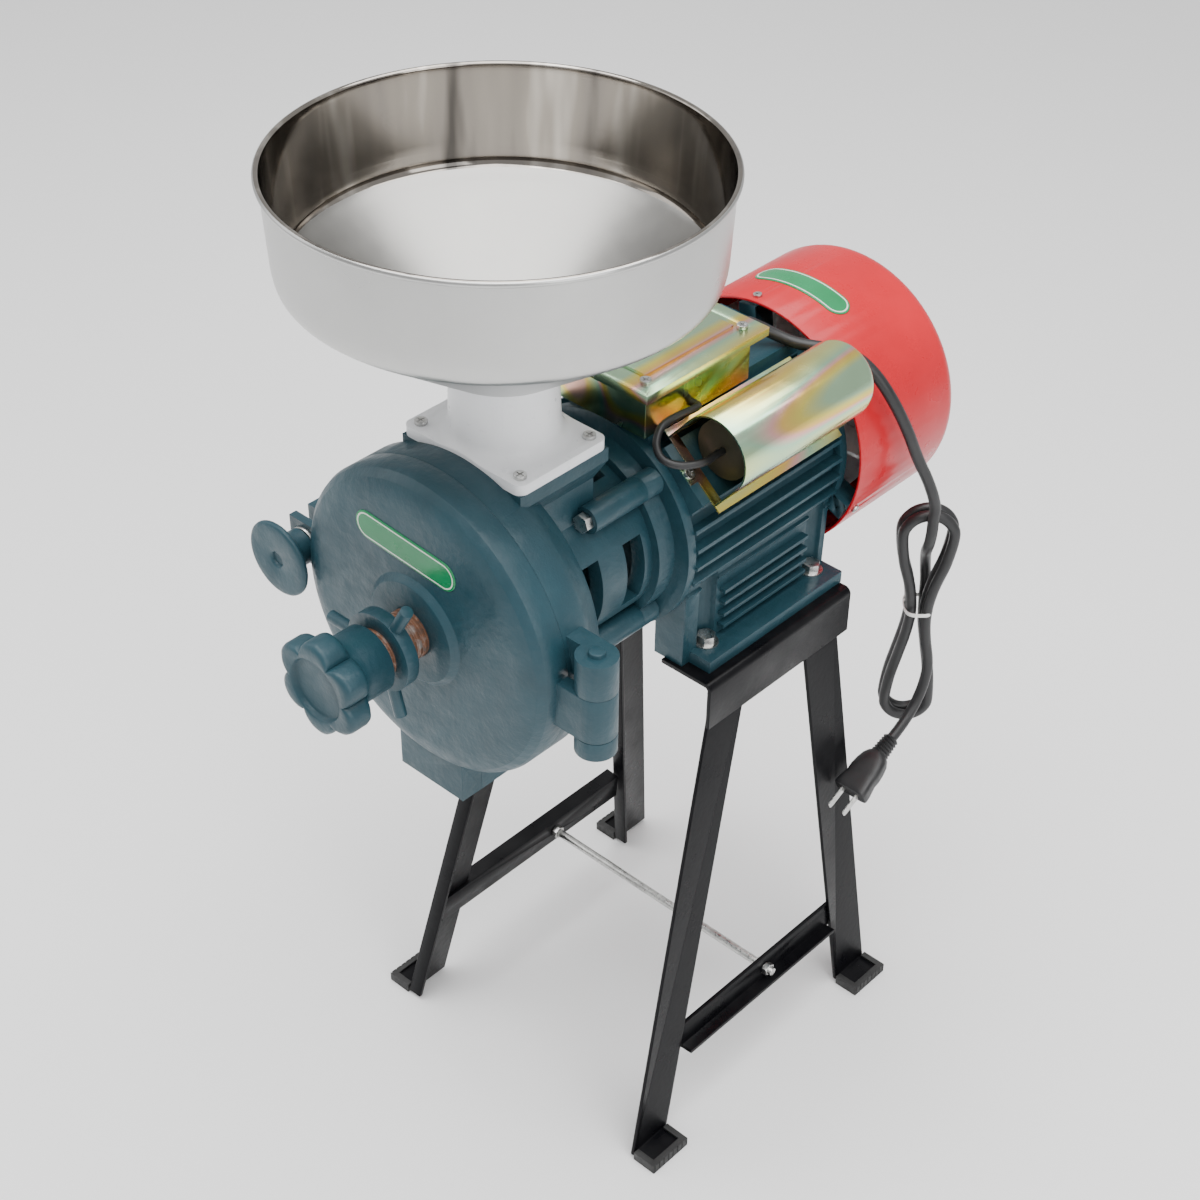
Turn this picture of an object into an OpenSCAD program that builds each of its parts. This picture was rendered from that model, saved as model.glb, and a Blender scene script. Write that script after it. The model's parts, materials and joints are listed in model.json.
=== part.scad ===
/* [Whole mill] */
// height of the top of the stand above the floor
stand_h = 380; // [360:1:400]
// height of the motor shaft above its feet
shaft_h = 90; // [89:0.5:92]
// running clearance of pins, screws and shafts in their bores
run_gap = 0.05; // [0.02:0.01:0.1]
// gap kept between pieces that move past each other
free_gap = 0.3; // [0.3:0.05:0.6]

/* [Stand] */
// thickness of the stand's steel
steel_t = 3; // [2.5:0.5:4]
// length of each top rail
rail_len = 148; // [145:1:155]
// distance of the rails' middle behind the middle of the feet
rail_mid_y = 26; // [24:1:28]
// half width over the two rails
rail_out_x = 96; // [95:1:100]
// height of the rail's upright side
rail_drop = 36; // [30:1:40]
// width of the rail's flat side
rail_flat_w = 43; // [40:1:46]
// outer radius of the rail's bend
rail_bend_r = 5; // [4:0.5:7]
// width of a leg
leg_w = 35; // [32:1:36]
// width of a leg's turned edge
leg_edge_w = 12; // [8:1:12]
// front legs, distance in front of the middle at the rail
front_top_y = 27; // [24:1:30]
// rear legs, distance behind the middle at the rail
rear_top_y = 75; // [72:1:77]
// distance of the leg ends in front of and behind the middle
leg_foot_y = 119; // [112:1:125]
// distance of the leg ends to each side
leg_foot_x = 119; // [112:1:125]
// length of the tab turned out under each leg
tab_len = 18; // [14:1:22]
// width of the tab turned out under each leg
tab_w = 32; // [28:1:34]
// height of a brace between two legs
brace_h = 22; // [18:1:24]
// width of a brace's turned edge
brace_edge_w = 12; // [8:1:14]
// height of the braces' lower side above the floor
brace_z = 66; // [55:1:85]
// radius of the rod between the two braces
tie_rod_r = 3.2; // [2.5:0.1:4]
// distance of that rod behind the middle
tie_rod_y = 17; // [5:1:30]
// thickness of the rubber under a tab
foot_sole_t = 3; // [2.5:0.5:5]
// height of a rubber foot
foot_h = 8; // [7.5:0.5:10]
// wall of a rubber foot round the tab
foot_wall = 2.5; // [2:0.5:3]
// height and depth of the ribs on a rubber foot
foot_rib = 0.8; // [0.5:0.1:1]

/* [Motor] */
// radius over the casing's fins
fin_r = 78; // [76:1:80]
// radius of the casing between its fins
casing_r = 70; // [68:1:72]
// inner radius of the casing
casing_bore_r = 62; // [60:1:64]
// width of a fin
fin_w = 2.6; // [2:0.2:3]
// casing front end, distance in front of the middle
casing_front = 45; // [44:1:46]
// casing rear end, distance behind the middle
casing_rear = 101; // [100:1:102]
// half width over the motor's feet
motor_foot_x = 86; // [84:1:88]
// thickness of the motor's feet
motor_foot_t = 9; // [8:0.5:11]
// inner edge of the motor's feet
motor_foot_in = 44; // [42:1:46]
// front end of the motor's feet
motor_foot_front = 38; // [36:1:42]
// half distance across the foot bolts
foot_bolt_x = 69.5; // [68:0.5:71]
// front foot bolts, distance in front of the middle
foot_bolt_front = 23; // [20:1:26]
// rear foot bolts, distance behind the middle
foot_bolt_rear = 87; // [85:1:88]
// radius of a foot bolt
foot_bolt_r = 4; // [3:0.5:4.5]
// radius of the end plates of the motor
shield_r = 76; // [75:1:77]
// thickness of the end plates of the motor
shield_t = 7; // [6:0.5:8]
// radius of the motor's nose
nose_r = 64; // [62:1:64]
// length of the motor's nose
nose_len = 14; // [13:1:15]
// radius of the shaft in the grinding head
shaft_r = 12; // [11:0.5:12.5]
// radius of the shaft at its thickest
shaft_mid_r = 15; // [14:0.5:16]
// outer radius of the front bearing
bearing_r = 26; // [25:0.5:27]
// width of a bearing
bearing_w = 15; // [12:1:16]
// radius of the shaft under the rear bearing
rear_seat_r = 10; // [9:0.5:10.5]
// radius of the rotor
rotor_r = 36; // [32:1:40]
// gap between rotor and stator
air_gap = 0.5; // [0.4:0.1:1]
// length of the stator and of the rotor
core_len = 90; // [80:1:95]
// middle of the stator, distance behind the middle of the feet
core_mid = 28; // [26:1:30]
// length of the windings beyond the stator
winding_len = 18; // [12:1:20]
// radius of the fan cover
fan_cover_r = 90.4; // [88:0.2:92]
// thickness of the fan cover
fan_cover_t = 1.5; // [1:0.1:2]
// fan cover front rim, distance behind the middle
fan_cover_front = 105; // [104:1:107]
// fan cover rear end, distance behind the middle
fan_cover_rear = 215; // [205:1:225]
// rounding of the fan cover's rear edge
fan_cover_round = 13; // [8:1:18]
// radius of the fan
fan_r = 78; // [70:1:82]
// length of the fan
fan_len = 28; // [20:1:34]
// number of fan blades
fan_blades = 8; // [5:1:12]

/* [Grinding head] */
// outer radius of the grinding chamber
drum_r = 104; // [103:0.5:105]
// wall round the grinding chamber
chamber_wall = 8; // [7:0.5:10]
// joint between chamber and front cover, distance in front of the middle
seam = 190; // [188:1:192]
// depth of the grinding chamber behind that joint
chamber_depth = 15; // [14:0.5:16]
// wall behind the grinding chamber
back_wall = 6; // [5:0.5:7]
// outer radius of the neck between motor and chamber
neck_r = 58; // [56:1:60]
// inner radius of the neck
neck_bore_r = 47; // [44:1:48]
// radius of the feed tube inside
feed_bore_r = 32; // [31:0.5:33]
// wall of the feed tube
feed_wall = 5; // [4:0.5:6]
// rear end of the feed tube, distance in front of the middle
feed_rear = 96; // [95:1:98]
// thickness of the feed tube's end wall
feed_end_t = 8; // [6:0.5:9]
// distance of the neck bolts from the shaft
neck_bolt_pcd = 66; // [65:0.5:67]
// angle of the neck bolts above and below the level
neck_bolt_angle = 48; // [44:1:52]
// radius of a neck bolt
neck_bolt_r = 4; // [3:0.5:4.5]
// radius of a neck bolt's boss
neck_boss_r = 9; // [8:0.5:10]
// front end of those bosses, distance in front of the middle
neck_boss_front = 112; // [108:1:115]
// middle of the grain inlet, distance in front of the middle
inlet_y = 135.4; // [134:0.2:137]
// half width of the inlet pad
inlet_half_w = 49; // [46:1:52]
// half depth of the inlet pad
inlet_half_d = 37; // [36:0.5:38]
// depth of the inlet pad below the top of the grinding chamber
inlet_drop = 6.5; // [4:0.5:8]
// thickness of the inlet pad's edge
inlet_edge = 9; // [7:0.5:11]
// radius of the inlet
inlet_r = 27.5; // [26:0.5:28]
// half width of the flour outlet
outlet_half_w = 28; // [26:0.5:30]
// depth of the flour outlet below the shaft
outlet_drop = 127; // [120:1:130]
// wall of the flour outlet
outlet_wall = 5; // [4:0.5:6]
// rear of the flour outlet, distance in front of the middle
outlet_rear = 160; // [158:1:162]
// front of the outlet on the cover, distance in front of the middle
outlet_front = 207; // [205:1:209]
// gap between the discs and the wall of the chamber
disc_room = 8; // [6:0.5:12]
// thickness of a grinding disc
disc_t = 11; // [9:0.5:11.5]
// gap between the grinding discs
disc_gap = 1; // [0.6:0.1:1.5]
// depth of the discs' grooves
groove_depth = 2; // [1:0.5:3]
// width of the discs' grooves
groove_w = 3; // [2:0.5:4]
// number of grooves on a disc
grooves = 24; // [12:1:30]
// inner radius of the grinding faces
disc_eye_r = 31; // [29:0.5:31.5]
// radius of the feed screw
auger_r = 29; // [27:0.5:30]
// radius of the feed screw's core
auger_core_r = 17; // [16:0.5:19]
// thickness of the feed screw's flight
auger_flight_t = 5; // [4:0.5:7]

/* [Hopper and throat] */
// radius of the hopper over its rolled rim
hopper_r = 132.4; // [125:0.1:140]
// height of the hopper's rim above the shaft
hopper_top = 275.6; // [265:0.1:285]
// radius of the rolled rim's bead
bead_r = 2; // [1.8:0.1:2.5]
// thickness of the hopper's sheet
sheet_t = 1.2; // [1:0.1:2]
// height of the throat flange
throat_flange_t = 7; // [5:0.5:9]
// outer radius of the throat's neck
throat_r = 33.5; // [33.5:0.1:35]
// inner radius of the throat's neck
throat_bore_r = 30.4; // [30.3:0.1:31.5]
// height of the throat above the inlet pad
throat_h = 54.5; // [50:0.5:58]
// radius of the hopper's spigot
spigot_r = 30; // [29.5:0.1:30]
// length of the spigot inside the throat
spigot_len = 22; // [15:1:28]

/* [Front cover] */
// thickness of the front cover's rim
cover_rim = 16; // [15:0.5:18]
// front face of the cover, distance in front of its joint
cover_h = 24; // [23:0.5:26]
// wall of the front cover
cover_wall = 6.5; // [6:0.5:7]
// width of the cover's sloping rim
cover_slope_w = 20; // [16:0.5:22]
// radius of the boss on the cover
cover_boss_r = 34; // [32:0.5:36]
// height of the boss on the cover
cover_boss_h = 4; // [3:0.5:6]
// distance of the hinge's axis outside the chamber's rim
hinge_out = 19; // [17:0.5:21]
// distance of the hinge behind the joint
hinge_back = 3; // [2:0.5:4]
// radius of the hinge knuckles
knuckle_r = 13; // [11:0.5:14]
// lower end of the hinge below the shaft
hinge_low = 37; // [36:0.5:39]
// lower knuckle gap below the shaft
hinge_gap_low = 24; // [22:0.5:26]
// upper knuckle gap above the shaft
hinge_gap_high = 8; // [6:0.5:9]
// upper end of the hinge above the shaft
hinge_high = 33; // [32:0.5:35]
// radius of the hinge pin
hinge_pin_r = 5; // [4:0.5:6]
// height of the hinge pin's head
hinge_head_h = 3; // [2:0.5:4]
// distance of the clamp's middle outside the chamber's rim
clamp_out = 15; // [14:0.5:18]
// height of the clamp below the shaft
clamp_low = 5; // [0:0.5:8]
// half width of the clamp lugs
clamp_lug_w = 15; // [14:0.5:16]
// radius of the clamp screw
clamp_screw_r = 5; // [4:0.5:6]
// radius of the clamp knob's disc
clamp_knob_r = 26; // [24:0.5:28]
// radius of the clamp knob's neck
clamp_neck_r = 12; // [10:0.5:13]
// length of the clamp knob
clamp_knob_len = 22; // [20:0.5:26]
// thickness of the clamp knob's disc
clamp_disc_t = 5; // [4:0.5:8]
// radius of the adjusting screw
adjust_r = 16; // [14:0.5:17]
// front of the adjusting knob, distance in front of the joint
knob_front = 104; // [100:1:108]
// radius over the adjusting knob's lobes
knob_r = 33; // [31:0.5:35]
// radius of one lobe
lobe_r = 8; // [7:0.5:9]
// thickness of the adjusting knob's lobes
knob_t = 18; // [15:0.5:22]
// radius of the dish in the knob
dish_r = 21; // [18:0.5:22]
// depth of the dish in the knob
dish_depth = 4; // [2:0.5:6]
// radius of the knob's hub
hub_r = 22; // [20:0.5:23]
// length of the knob's hub behind the lobes
hub_len = 26; // [20:0.5:27]
// middle of the lock ring, distance in front of the joint
lock_ring_at = 50; // [46:0.5:54]
// thickness of the lock ring
lock_ring_t = 9; // [7:0.5:9]
// radius of the lock ring
lock_ring_r = 26; // [24:0.5:28]
// reach of the lock ring's pegs
peg_reach = 46; // [40:0.5:50]
// radius of a peg
peg_r = 4; // [3:0.2:4.2]
// way of the adjusting screw
adjust_travel = 2; // [1:0.1:2]
// length of the label on the cover
badge_len = 84; // [70:1:90]
// height of a label
badge_h = 20; // [16:1:24]
// thickness of a label
badge_t = 0.8; // [0.6:0.1:1.2]
// distance of the badge's middle inside the cover's rim
badge_in = 48; // [46:1:50]

/* [Electrics] */
// half width of the terminal box
box_half_w = 41; // [39:0.5:42]
// terminal box front wall, distance in front of the middle
box_front = 57; // [54:0.5:60]
// terminal box rear wall, distance behind the middle
box_rear = 41; // [39:0.5:44]
// height of the motor's pad under the box above the shaft
box_seat = 80; // [80:0.5:81]
// height of the terminal box
box_h = 31; // [28:0.5:34]
// wall of the terminal box
box_wall = 2; // [1.5:0.5:3]
// lid overhang round the box
lid_over = 8; // [6:0.5:8]
// thickness of the lid
lid_t = 6; // [5:0.5:7]
// height of the lid's raised panel
lid_panel_h = 1.5; // [1:0.5:3]
// angle of the capacitor cover above the level
cap_angle = 50; // [48:1:52]
// distance of the capacitor's seat from the shaft
cap_seat = 84; // [83:0.5:85]
// sideways place of the capacitor on its seat
cap_side = 11.7; // [10:0.1:13]
// radius of the capacitor cover's round top
cap_cover_r = 26; // [25:0.5:28]
// height of the capacitor cover
cap_cover_h = 52; // [50:0.5:56]
// width of the capacitor cover's lips
cap_lip = 4.5; // [3:0.5:6]
// rounding of the capacitor cover's rear edge
cap_round = 11; // [8:0.5:12]
// front of the capacitor cover, distance in front of the middle
cap_front = 38; // [36:0.5:40]
// rear of the capacitor cover, distance behind the middle
cap_rear = 95; // [90:0.5:98]
// sheet of the capacitor cover
cap_sheet = 1.2; // [1:0.1:1.5]
// radius of the capacitor
capacitor_r = 20; // [18:0.5:21]
// length of the capacitor
capacitor_len = 92; // [80:1:100]
// diameter of the mains cord
cord_d = 8; // [7:0.2:8.4]
// length of the strain relief
relief_len = 24; // [20:1:40]
// height of the strain relief above the shaft
gland_up = 96; // [95:0.5:97]
// place of the strain relief to the right
gland_x = 14; // [10:1:18]
// length of the plug's body
plug_len = 36; // [30:1:42]
// width of the plug's body
plug_w = 27; // [24:1:30]
// thickness of the plug's body
plug_t = 15; // [13:0.5:18]
// length of the plug's blades
blade_len = 17; // [14:0.5:20]

/* [Hidden] */
$fn = 96;
bolt_af_share = 1.62;
bolt_head_share = 0.7;
washer_share = 2.1;
washer_t = 1.2;
axis_z = stand_h + shaft_h;
inlet_h = drum_r - inlet_drop;
chamber_r = drum_r - chamber_wall;
disc_r = chamber_r - disc_room;
cover_face_r = drum_r - cover_slope_w;
hinge_x = drum_r + hinge_out;
clamp_x = drum_r + clamp_out;
badge_up = drum_r - badge_in;
lean = atan((leg_foot_x - rail_out_x + steel_t) / (stand_h - rail_drop - foot_sole_t));
leg_len = (stand_h - rail_drop - foot_sole_t) / cos(lean);
leg_spare = 60;
rail_low = stand_h - rail_drop;
reach_all = 400;
fins = 36;
air_slots = 16;
badge_turn = -4;
rim_share = 0.75;

steel_black = [0.12, 0.12, 0.13];
zinc = [0.75, 0.75, 0.74];
rubber_black = [0.07, 0.07, 0.07];
teal = [0.18, 0.38, 0.45];
cover_red = [0.65, 0.12, 0.1];
zinc_gold = [0.75, 0.65, 0.3];
iron_grey = [0.4, 0.4, 0.4];
copper = [0.7, 0.4, 0.2];
dark_plastic = [0.13, 0.12, 0.08];
white_plastic = [0.95, 0.95, 0.95];
bright_steel = [0.85, 0.85, 0.86];
label_green = [0.05, 0.45, 0.3];

// bolt lying along z with its head on top of z = 0
module hex_bolt(r, len, wash) {
  translate([0, 0, -len]) cylinder(r = r, h = len + steel_t);
  if (wash) cylinder(r = r * washer_share, h = washer_t);
  translate([0, 0, wash ? washer_t : 0]) cylinder(r = r * bolt_af_share, h = r * 2 * bolt_head_share,
      $fn = 6);
}

module hex_nut(r) {
  difference() {
    cylinder(r = r * bolt_af_share, h = r * 2 * bolt_head_share, $fn = 6);
    translate([0, 0, -r]) cylinder(r = r, h = r * 4);
  }
}

module pan_screw(r, len) {
  translate([0, 0, -len]) cylinder(r = r, h = len);
  difference() {
    cylinder(r = r * 2, h = r * 1.2);
    translate([-r * 1.4, -r * 0.2, r * 0.7]) cube([r * 2.8, r * 0.4, r]);
    translate([-r * 0.2, -r * 1.4, r * 0.7]) cube([r * 0.4, r * 2.8, r]);
  }
}

// things drawn round the shaft, z pointing to the front
module on_shaft() translate([0, 0, axis_z]) rotate([90, 0, 0]) children();

module one_side(side) {
  if (side > 0) children();
  else mirror([1, 0, 0]) children();
}

// stand
module rail_shape() {
  translate([rail_out_x - rail_flat_w, stand_h - steel_t]) square([rail_flat_w - rail_bend_r, steel_t]);
  translate([rail_out_x - steel_t, rail_low]) square([steel_t, rail_drop - rail_bend_r]);
  translate([rail_out_x - rail_bend_r, stand_h - rail_bend_r]) intersection() {
    difference() {
      circle(r = rail_bend_r);
      circle(r = rail_bend_r - steel_t);
    }
    square([rail_bend_r, rail_bend_r]);
  }
}

module rail(side) color(steel_black) one_side(side) difference() {
  translate([0, rail_mid_y + rail_len / 2, 0]) rotate([90, 0, 0]) linear_extrude(rail_len) rail_shape();
  for (y = [-foot_bolt_front, foot_bolt_rear])
    translate([foot_bolt_x, y, rail_low]) cylinder(r = foot_bolt_r, h = rail_drop * 2);
}

module side_frame() translate([rail_out_x - steel_t, 0, rail_low]) rotate([0, -lean, 0]) children();

module leg(side, top_y, foot_y, edge_rear) color(steel_black) one_side(side) {
  splay = atan((foot_y - top_y) / leg_len);
  intersection() {
    side_frame() translate([0, top_y, 0]) rotate([splay, 0, 0]) {
      translate([-steel_t, -leg_w / 2, -leg_len - leg_spare])
        cube([steel_t, leg_w, leg_len + leg_spare * 2]);
      translate([-leg_edge_w, edge_rear ? leg_w / 2 - steel_t : -leg_w / 2, -leg_len - leg_spare])
        cube([leg_edge_w, steel_t, leg_len + leg_spare * 2]);
    }
    translate([0, -reach_all, foot_sole_t]) cube([reach_all, reach_all * 2,
        stand_h - steel_t - foot_sole_t]);
  }
  translate([leg_foot_x - steel_t, foot_y - tab_w / 2, foot_sole_t])
    cube([tab_len + steel_t, tab_w, steel_t]);
}

module rubber_foot(side, foot_y) color(rubber_black) one_side(side) translate([leg_foot_x, foot_y, 0]) {
  out = tab_len + foot_wall;
  wide = tab_w + foot_wall * 2;
  lip = foot_wall * 2;
  clear = free_gap * 2;
  difference() {
    translate([clear, -wide / 2, 0]) cube([out - clear, wide, foot_h]);
    translate([0, -tab_w / 2, foot_sole_t]) cube([tab_len, tab_w, steel_t]);
    translate([-lip, -wide / 2 + lip, foot_sole_t]) cube([out, wide - lip * 2, foot_h]);
    for (k = [0:7]) translate([out - foot_rib, -wide / 2 + foot_rib + k * (wide - foot_rib * 3) / 7,
        foot_rib])
      cube([foot_wall, foot_rib, foot_h]);
  }
}

function leg_y(top_y, foot_y, z) = top_y + (foot_y - top_y) * (rail_low - z) / (rail_low - foot_sole_t);
function frame_x(z) = rail_out_x - steel_t + (rail_low - z) * tan(lean);

brace_mid = brace_z + brace_h / 2;
rod_x = frame_x(brace_mid) - steel_t * 2;

// strip along y on the inner side of the legs
module brace(side, y0, y1, lip_y0, lip_y1, lip_top) color(steel_black) one_side(side) {
  up = (brace_z - rail_low) / cos(lean);
  difference() {
    side_frame() {
      translate([-steel_t * 2, y0, up]) cube([steel_t, y1 - y0, brace_h]);
      translate([-steel_t * 2, lip_y0, lip_top ? up + brace_h - steel_t : up])
        cube([brace_edge_w, lip_y1 - lip_y0, steel_t]);
    }
    translate([0, tie_rod_y, brace_mid]) rotate([0, 90, 0]) cylinder(r = tie_rod_r, h = reach_all);
  }
}
edge_share = 1 / cos(atan((leg_foot_y - front_top_y) / leg_len));
rear_share = 1 / cos(atan((leg_foot_y - rear_top_y) / leg_len));
brace_top = brace_z + brace_h;
front_back_edge = leg_y(-front_top_y, -leg_foot_y, brace_top) + leg_w / 2 * edge_share + free_gap;
front_fore_edge = leg_y(-front_top_y, -leg_foot_y, brace_top) - leg_w / 2 * edge_share;
rear_back_edge = leg_y(rear_top_y, leg_foot_y, brace_top) + leg_w / 2 * rear_share;
rear_fore_edge = leg_y(rear_top_y, leg_foot_y, brace_top) - leg_w / 2 * rear_share - free_gap;

module right_rail() rail(1);
module left_rail() rail(-1);
module front_right_leg() leg(1, -front_top_y, -leg_foot_y, true);
module rear_right_leg() leg(1, rear_top_y, leg_foot_y, true);
module front_left_leg() leg(-1, -front_top_y, -leg_foot_y, false);
module rear_left_leg() leg(-1, rear_top_y, leg_foot_y, false);
module right_brace() brace(1, front_back_edge, rear_back_edge - steel_t * 2, front_back_edge,
    rear_fore_edge, false);
module left_brace() brace(-1, front_fore_edge + steel_t * 2 * edge_share, rear_fore_edge,
    front_back_edge, rear_fore_edge, true);
module front_right_foot() rubber_foot(1, -leg_foot_y);
module rear_right_foot() rubber_foot(1, leg_foot_y);
module front_left_foot() rubber_foot(-1, -leg_foot_y);
module rear_left_foot() rubber_foot(-1, leg_foot_y);

nut_off = steel_t + tie_rod_r * bolt_af_share * tan(lean) + run_gap;
nut_t = tie_rod_r * 2 * bolt_head_share;
module tie_rod() color(zinc) {
  reach = rod_x + nut_off + nut_t + steel_t;
  translate([-reach, tie_rod_y, brace_mid]) rotate([0, 90, 0]) cylinder(r = tie_rod_r, h = reach * 2);
}
module tie_rod_nuts() color(zinc) for (side = [-1, 1]) one_side(side)
  translate([0, tie_rod_y, brace_mid]) {
  translate([rod_x + nut_off, 0, 0]) rotate([0, 90, 0]) hex_nut(tie_rod_r);
  translate([rod_x - nut_off + steel_t - nut_t - run_gap * 2, 0, 0]) rotate([0, 90, 0])
    hex_nut(tie_rod_r);
}

// motor; stations along the shaft are counted forwards from the middle
module motor_shape() {
  difference() {
    union() {
      circle(r = casing_r);
      for (k = [0:fins - 1])
        rotate((k + 0.5) * 360 / fins) translate([0, -fin_w / 2]) square([fin_r, fin_w]);
      translate([-cap_edge, 0]) square([cap_edge * 2, box_seat]);
      rotate(cap_angle - 90) translate([cap_side - cap_cover_r + cap_lip, 0])
        square([(cap_cover_r - cap_lip) * 2, cap_seat]);
      for (s = [-1, 1]) polygon([[s * motor_foot_in, -shaft_h],
          [s * (motor_foot_x - motor_foot_t * 2), -shaft_h],
        [s * casing_r, 0], [s * motor_foot_in, 0]]);
    }
    circle(r = casing_bore_r);
  }
}
cap_edge = box_half_w - lid_over;

module motor_casing() color(teal) on_shaft() difference() {
  union() {
    translate([0, 0, -casing_rear]) linear_extrude(casing_rear + casing_front) motor_shape();
    for (s = [-1, 1]) translate([s > 0 ? motor_foot_in : -motor_foot_x, -shaft_h, -casing_rear])
      cube([motor_foot_x - motor_foot_in, motor_foot_t, casing_rear + motor_foot_front]);
  }
  for (x = [-foot_bolt_x, foot_bolt_x], s = [foot_bolt_front, -foot_bolt_rear]) {
    translate([x, -shaft_h - motor_foot_t, s]) rotate([-90, 0, 0])
      cylinder(r = foot_bolt_r, h = motor_foot_t * 3);
    translate([x, motor_foot_t - shaft_h, s]) rotate([-90, 0, 0])
      cylinder(r = foot_bolt_r * washer_share + free_gap, h = shaft_h * 0.6);
  }
  rotate(cap_angle - 90) translate([cap_side, cap_seat, 0]) cap_screw_places()
    translate([0, 0, -lid_over]) cylinder(r = lid_screw_r, h = lid_over * 2);
  // wire way up into the terminal box
  rotate([-90, 0, 0]) cylinder(r = shaft_r, h = box_seat * 2);
}

module stator_core() color(iron_grey) on_shaft() translate([0, 0, -core_mid - core_len / 2])
  difference() {
    cylinder(r = casing_bore_r, h = core_len);
    translate([0, 0, -core_len]) cylinder(r = rotor_r + air_gap, h = core_len * 3);
  }

module stator_windings() color(copper) on_shaft()
  for (s = [core_len / 2 - core_mid, -core_mid - core_len / 2 - winding_len]) translate([0, 0, s])
    rotate_extrude() translate([(casing_bore_r + rotor_r) / 2, winding_len / 2])
      winding_section();
module winding_section() intersection() {
  circle(r = winding_len * 0.6);
  square([winding_len, winding_len], center = true);
}

module rotor_core() color(iron_grey) on_shaft() translate([0, 0, -core_mid - core_len / 2])
  difference() {
    cylinder(r = rotor_r, h = core_len);
    translate([0, 0, -core_len]) cylinder(r = shaft_mid_r, h = core_len * 3);
  }

front_seat = casing_front + shield_t - bearing_w / 2;
rear_seat = -casing_rear - shield_t / 2;
bearing_shoulder = 3;
disc_front = seam - disc_gap * 2;
disc_back = disc_front - disc_t;

// shaft with its bearing seats
module motor_shaft() color(bright_steel) on_shaft() {
  translate([0, 0, rear_seat - fan_len - bearing_w])
    cylinder(r = rear_seat_r - run_gap, h = fan_len + bearing_w * 2);
  translate([0, 0, rear_seat + bearing_w]) cylinder(r = shaft_mid_r,
      h = front_seat - rear_seat - bearing_w);
  translate([0, 0, front_seat]) cylinder(r = shaft_r, h = disc_front - front_seat);
}

module bearing_ring(inner, outer) {
  difference() {
    cylinder(r = outer, h = bearing_w);
    translate([0, 0, -bearing_w]) cylinder(r = inner, h = bearing_w * 3);
    for (z = [-bearing_w, bearing_w - bearing_shoulder / 2]) translate([0, 0, z])
      difference() {
        cylinder(r = outer - bearing_shoulder, h = bearing_w + bearing_shoulder / 2);
        translate([0, 0, -bearing_w]) cylinder(r = inner + bearing_shoulder, h = bearing_w * 4);
      }
  }
}
module front_bearing() color(bright_steel) on_shaft() translate([0, 0, front_seat])
  bearing_ring(shaft_r + run_gap, bearing_r);
module rear_bearing() color(bright_steel) on_shaft() translate([0, 0, rear_seat])
  bearing_ring(rear_seat_r, bearing_r - bearing_shoulder);

module neck_bolt_places() for (a = [neck_bolt_angle, 180 - neck_bolt_angle, 180 + neck_bolt_angle,
    -neck_bolt_angle])
  rotate(a) translate([neck_bolt_pcd, 0, 0]) children();
nose_front = casing_front + shield_t + nose_len;

module front_end_shield() color(teal) on_shaft() difference() {
  union() {
    translate([0, 0, casing_front]) cylinder(r = shield_r, h = shield_t);
    translate([0, 0, casing_front - shield_t]) difference() {
      cylinder(r = casing_bore_r, h = shield_t * 2);
      translate([0, 0, -shield_t]) cylinder(r = casing_bore_r - shield_t, h = shield_t * 2);
    }
    translate([0, 0, casing_front]) cylinder(r = nose_r, h = shield_t + nose_len);
    translate([0, 0, casing_front - shield_t]) cylinder(r = bearing_r + shield_t, h = shield_t * 2);
    translate([0, 0, casing_front]) neck_bolt_places()
      cylinder(r = neck_boss_r, h = shield_t + nose_len);
  }
  translate([0, 0, front_seat]) cylinder(r = bearing_r, h = bearing_w);
  translate([0, 0, -casing_front]) cylinder(r = shaft_mid_r + free_gap,
      h = casing_front * 2 + shield_t);
  translate([0, 0, casing_front]) cylinder(r = shaft_r + free_gap, h = casing_front * 2);
  translate([0, 0, casing_front + shield_t]) neck_bolt_places()
    cylinder(r = neck_bolt_r, h = nose_len * 2);
}

fan_lug_angles = [97, 217, 337];
fan_lug_at = casing_rear + shield_t * 1.6;
module rear_end_shield() color(teal) on_shaft() difference() {
  union() {
    translate([0, 0, -casing_rear - shield_t]) cylinder(r = shield_r, h = shield_t);
    translate([0, 0, -casing_rear]) difference() {
      cylinder(r = casing_bore_r, h = shield_t);
      translate([0, 0, -shield_t]) cylinder(r = casing_bore_r - shield_t, h = shield_t * 3);
    }
    translate([0, 0, -casing_rear - shield_t * 1.5])
      cylinder(r = bearing_r + shield_t, h = bearing_w + shield_t);
    for (a = fan_lug_angles) rotate(a) translate([casing_r - shield_t, -shield_t,
        -casing_rear - shield_t * 2.5])
      cube([fan_cover_r - fan_cover_t - casing_r + shield_t - free_gap, shield_t * 2, shield_t * 2.5]);
  }
  translate([0, 0, rear_seat]) cylinder(r = bearing_r - bearing_shoulder, h = bearing_w);
  translate([0, 0, -casing_rear * 2]) cylinder(r = shaft_mid_r + free_gap, h = casing_rear * 2);
  for (a = fan_lug_angles) rotate(a) translate([fan_cover_r - shield_t * 2, 0, -fan_lug_at])
    rotate([0, 90, 0])
    cylinder(r = fan_cover_t, h = fan_cover_r);
}

// fan on the shaft behind the motor
module cooling_fan() color(white_plastic) on_shaft()
  translate([0, 0, rear_seat - fan_len - shield_t * 2]) difference() {
  union() {
    cylinder(r = rear_seat_r * 2, h = fan_len);
    cylinder(r = fan_r - shield_t, h = sheet_t * 2);
    for (k = [0:fan_blades - 1]) rotate(k * 360 / fan_blades) translate([rear_seat_r, -sheet_t, 0])
      cube([fan_r - rear_seat_r, sheet_t * 2, fan_len]);
  }
  translate([0, 0, -fan_len]) cylinder(r = rear_seat_r - run_gap, h = fan_len * 3);
}

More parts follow.
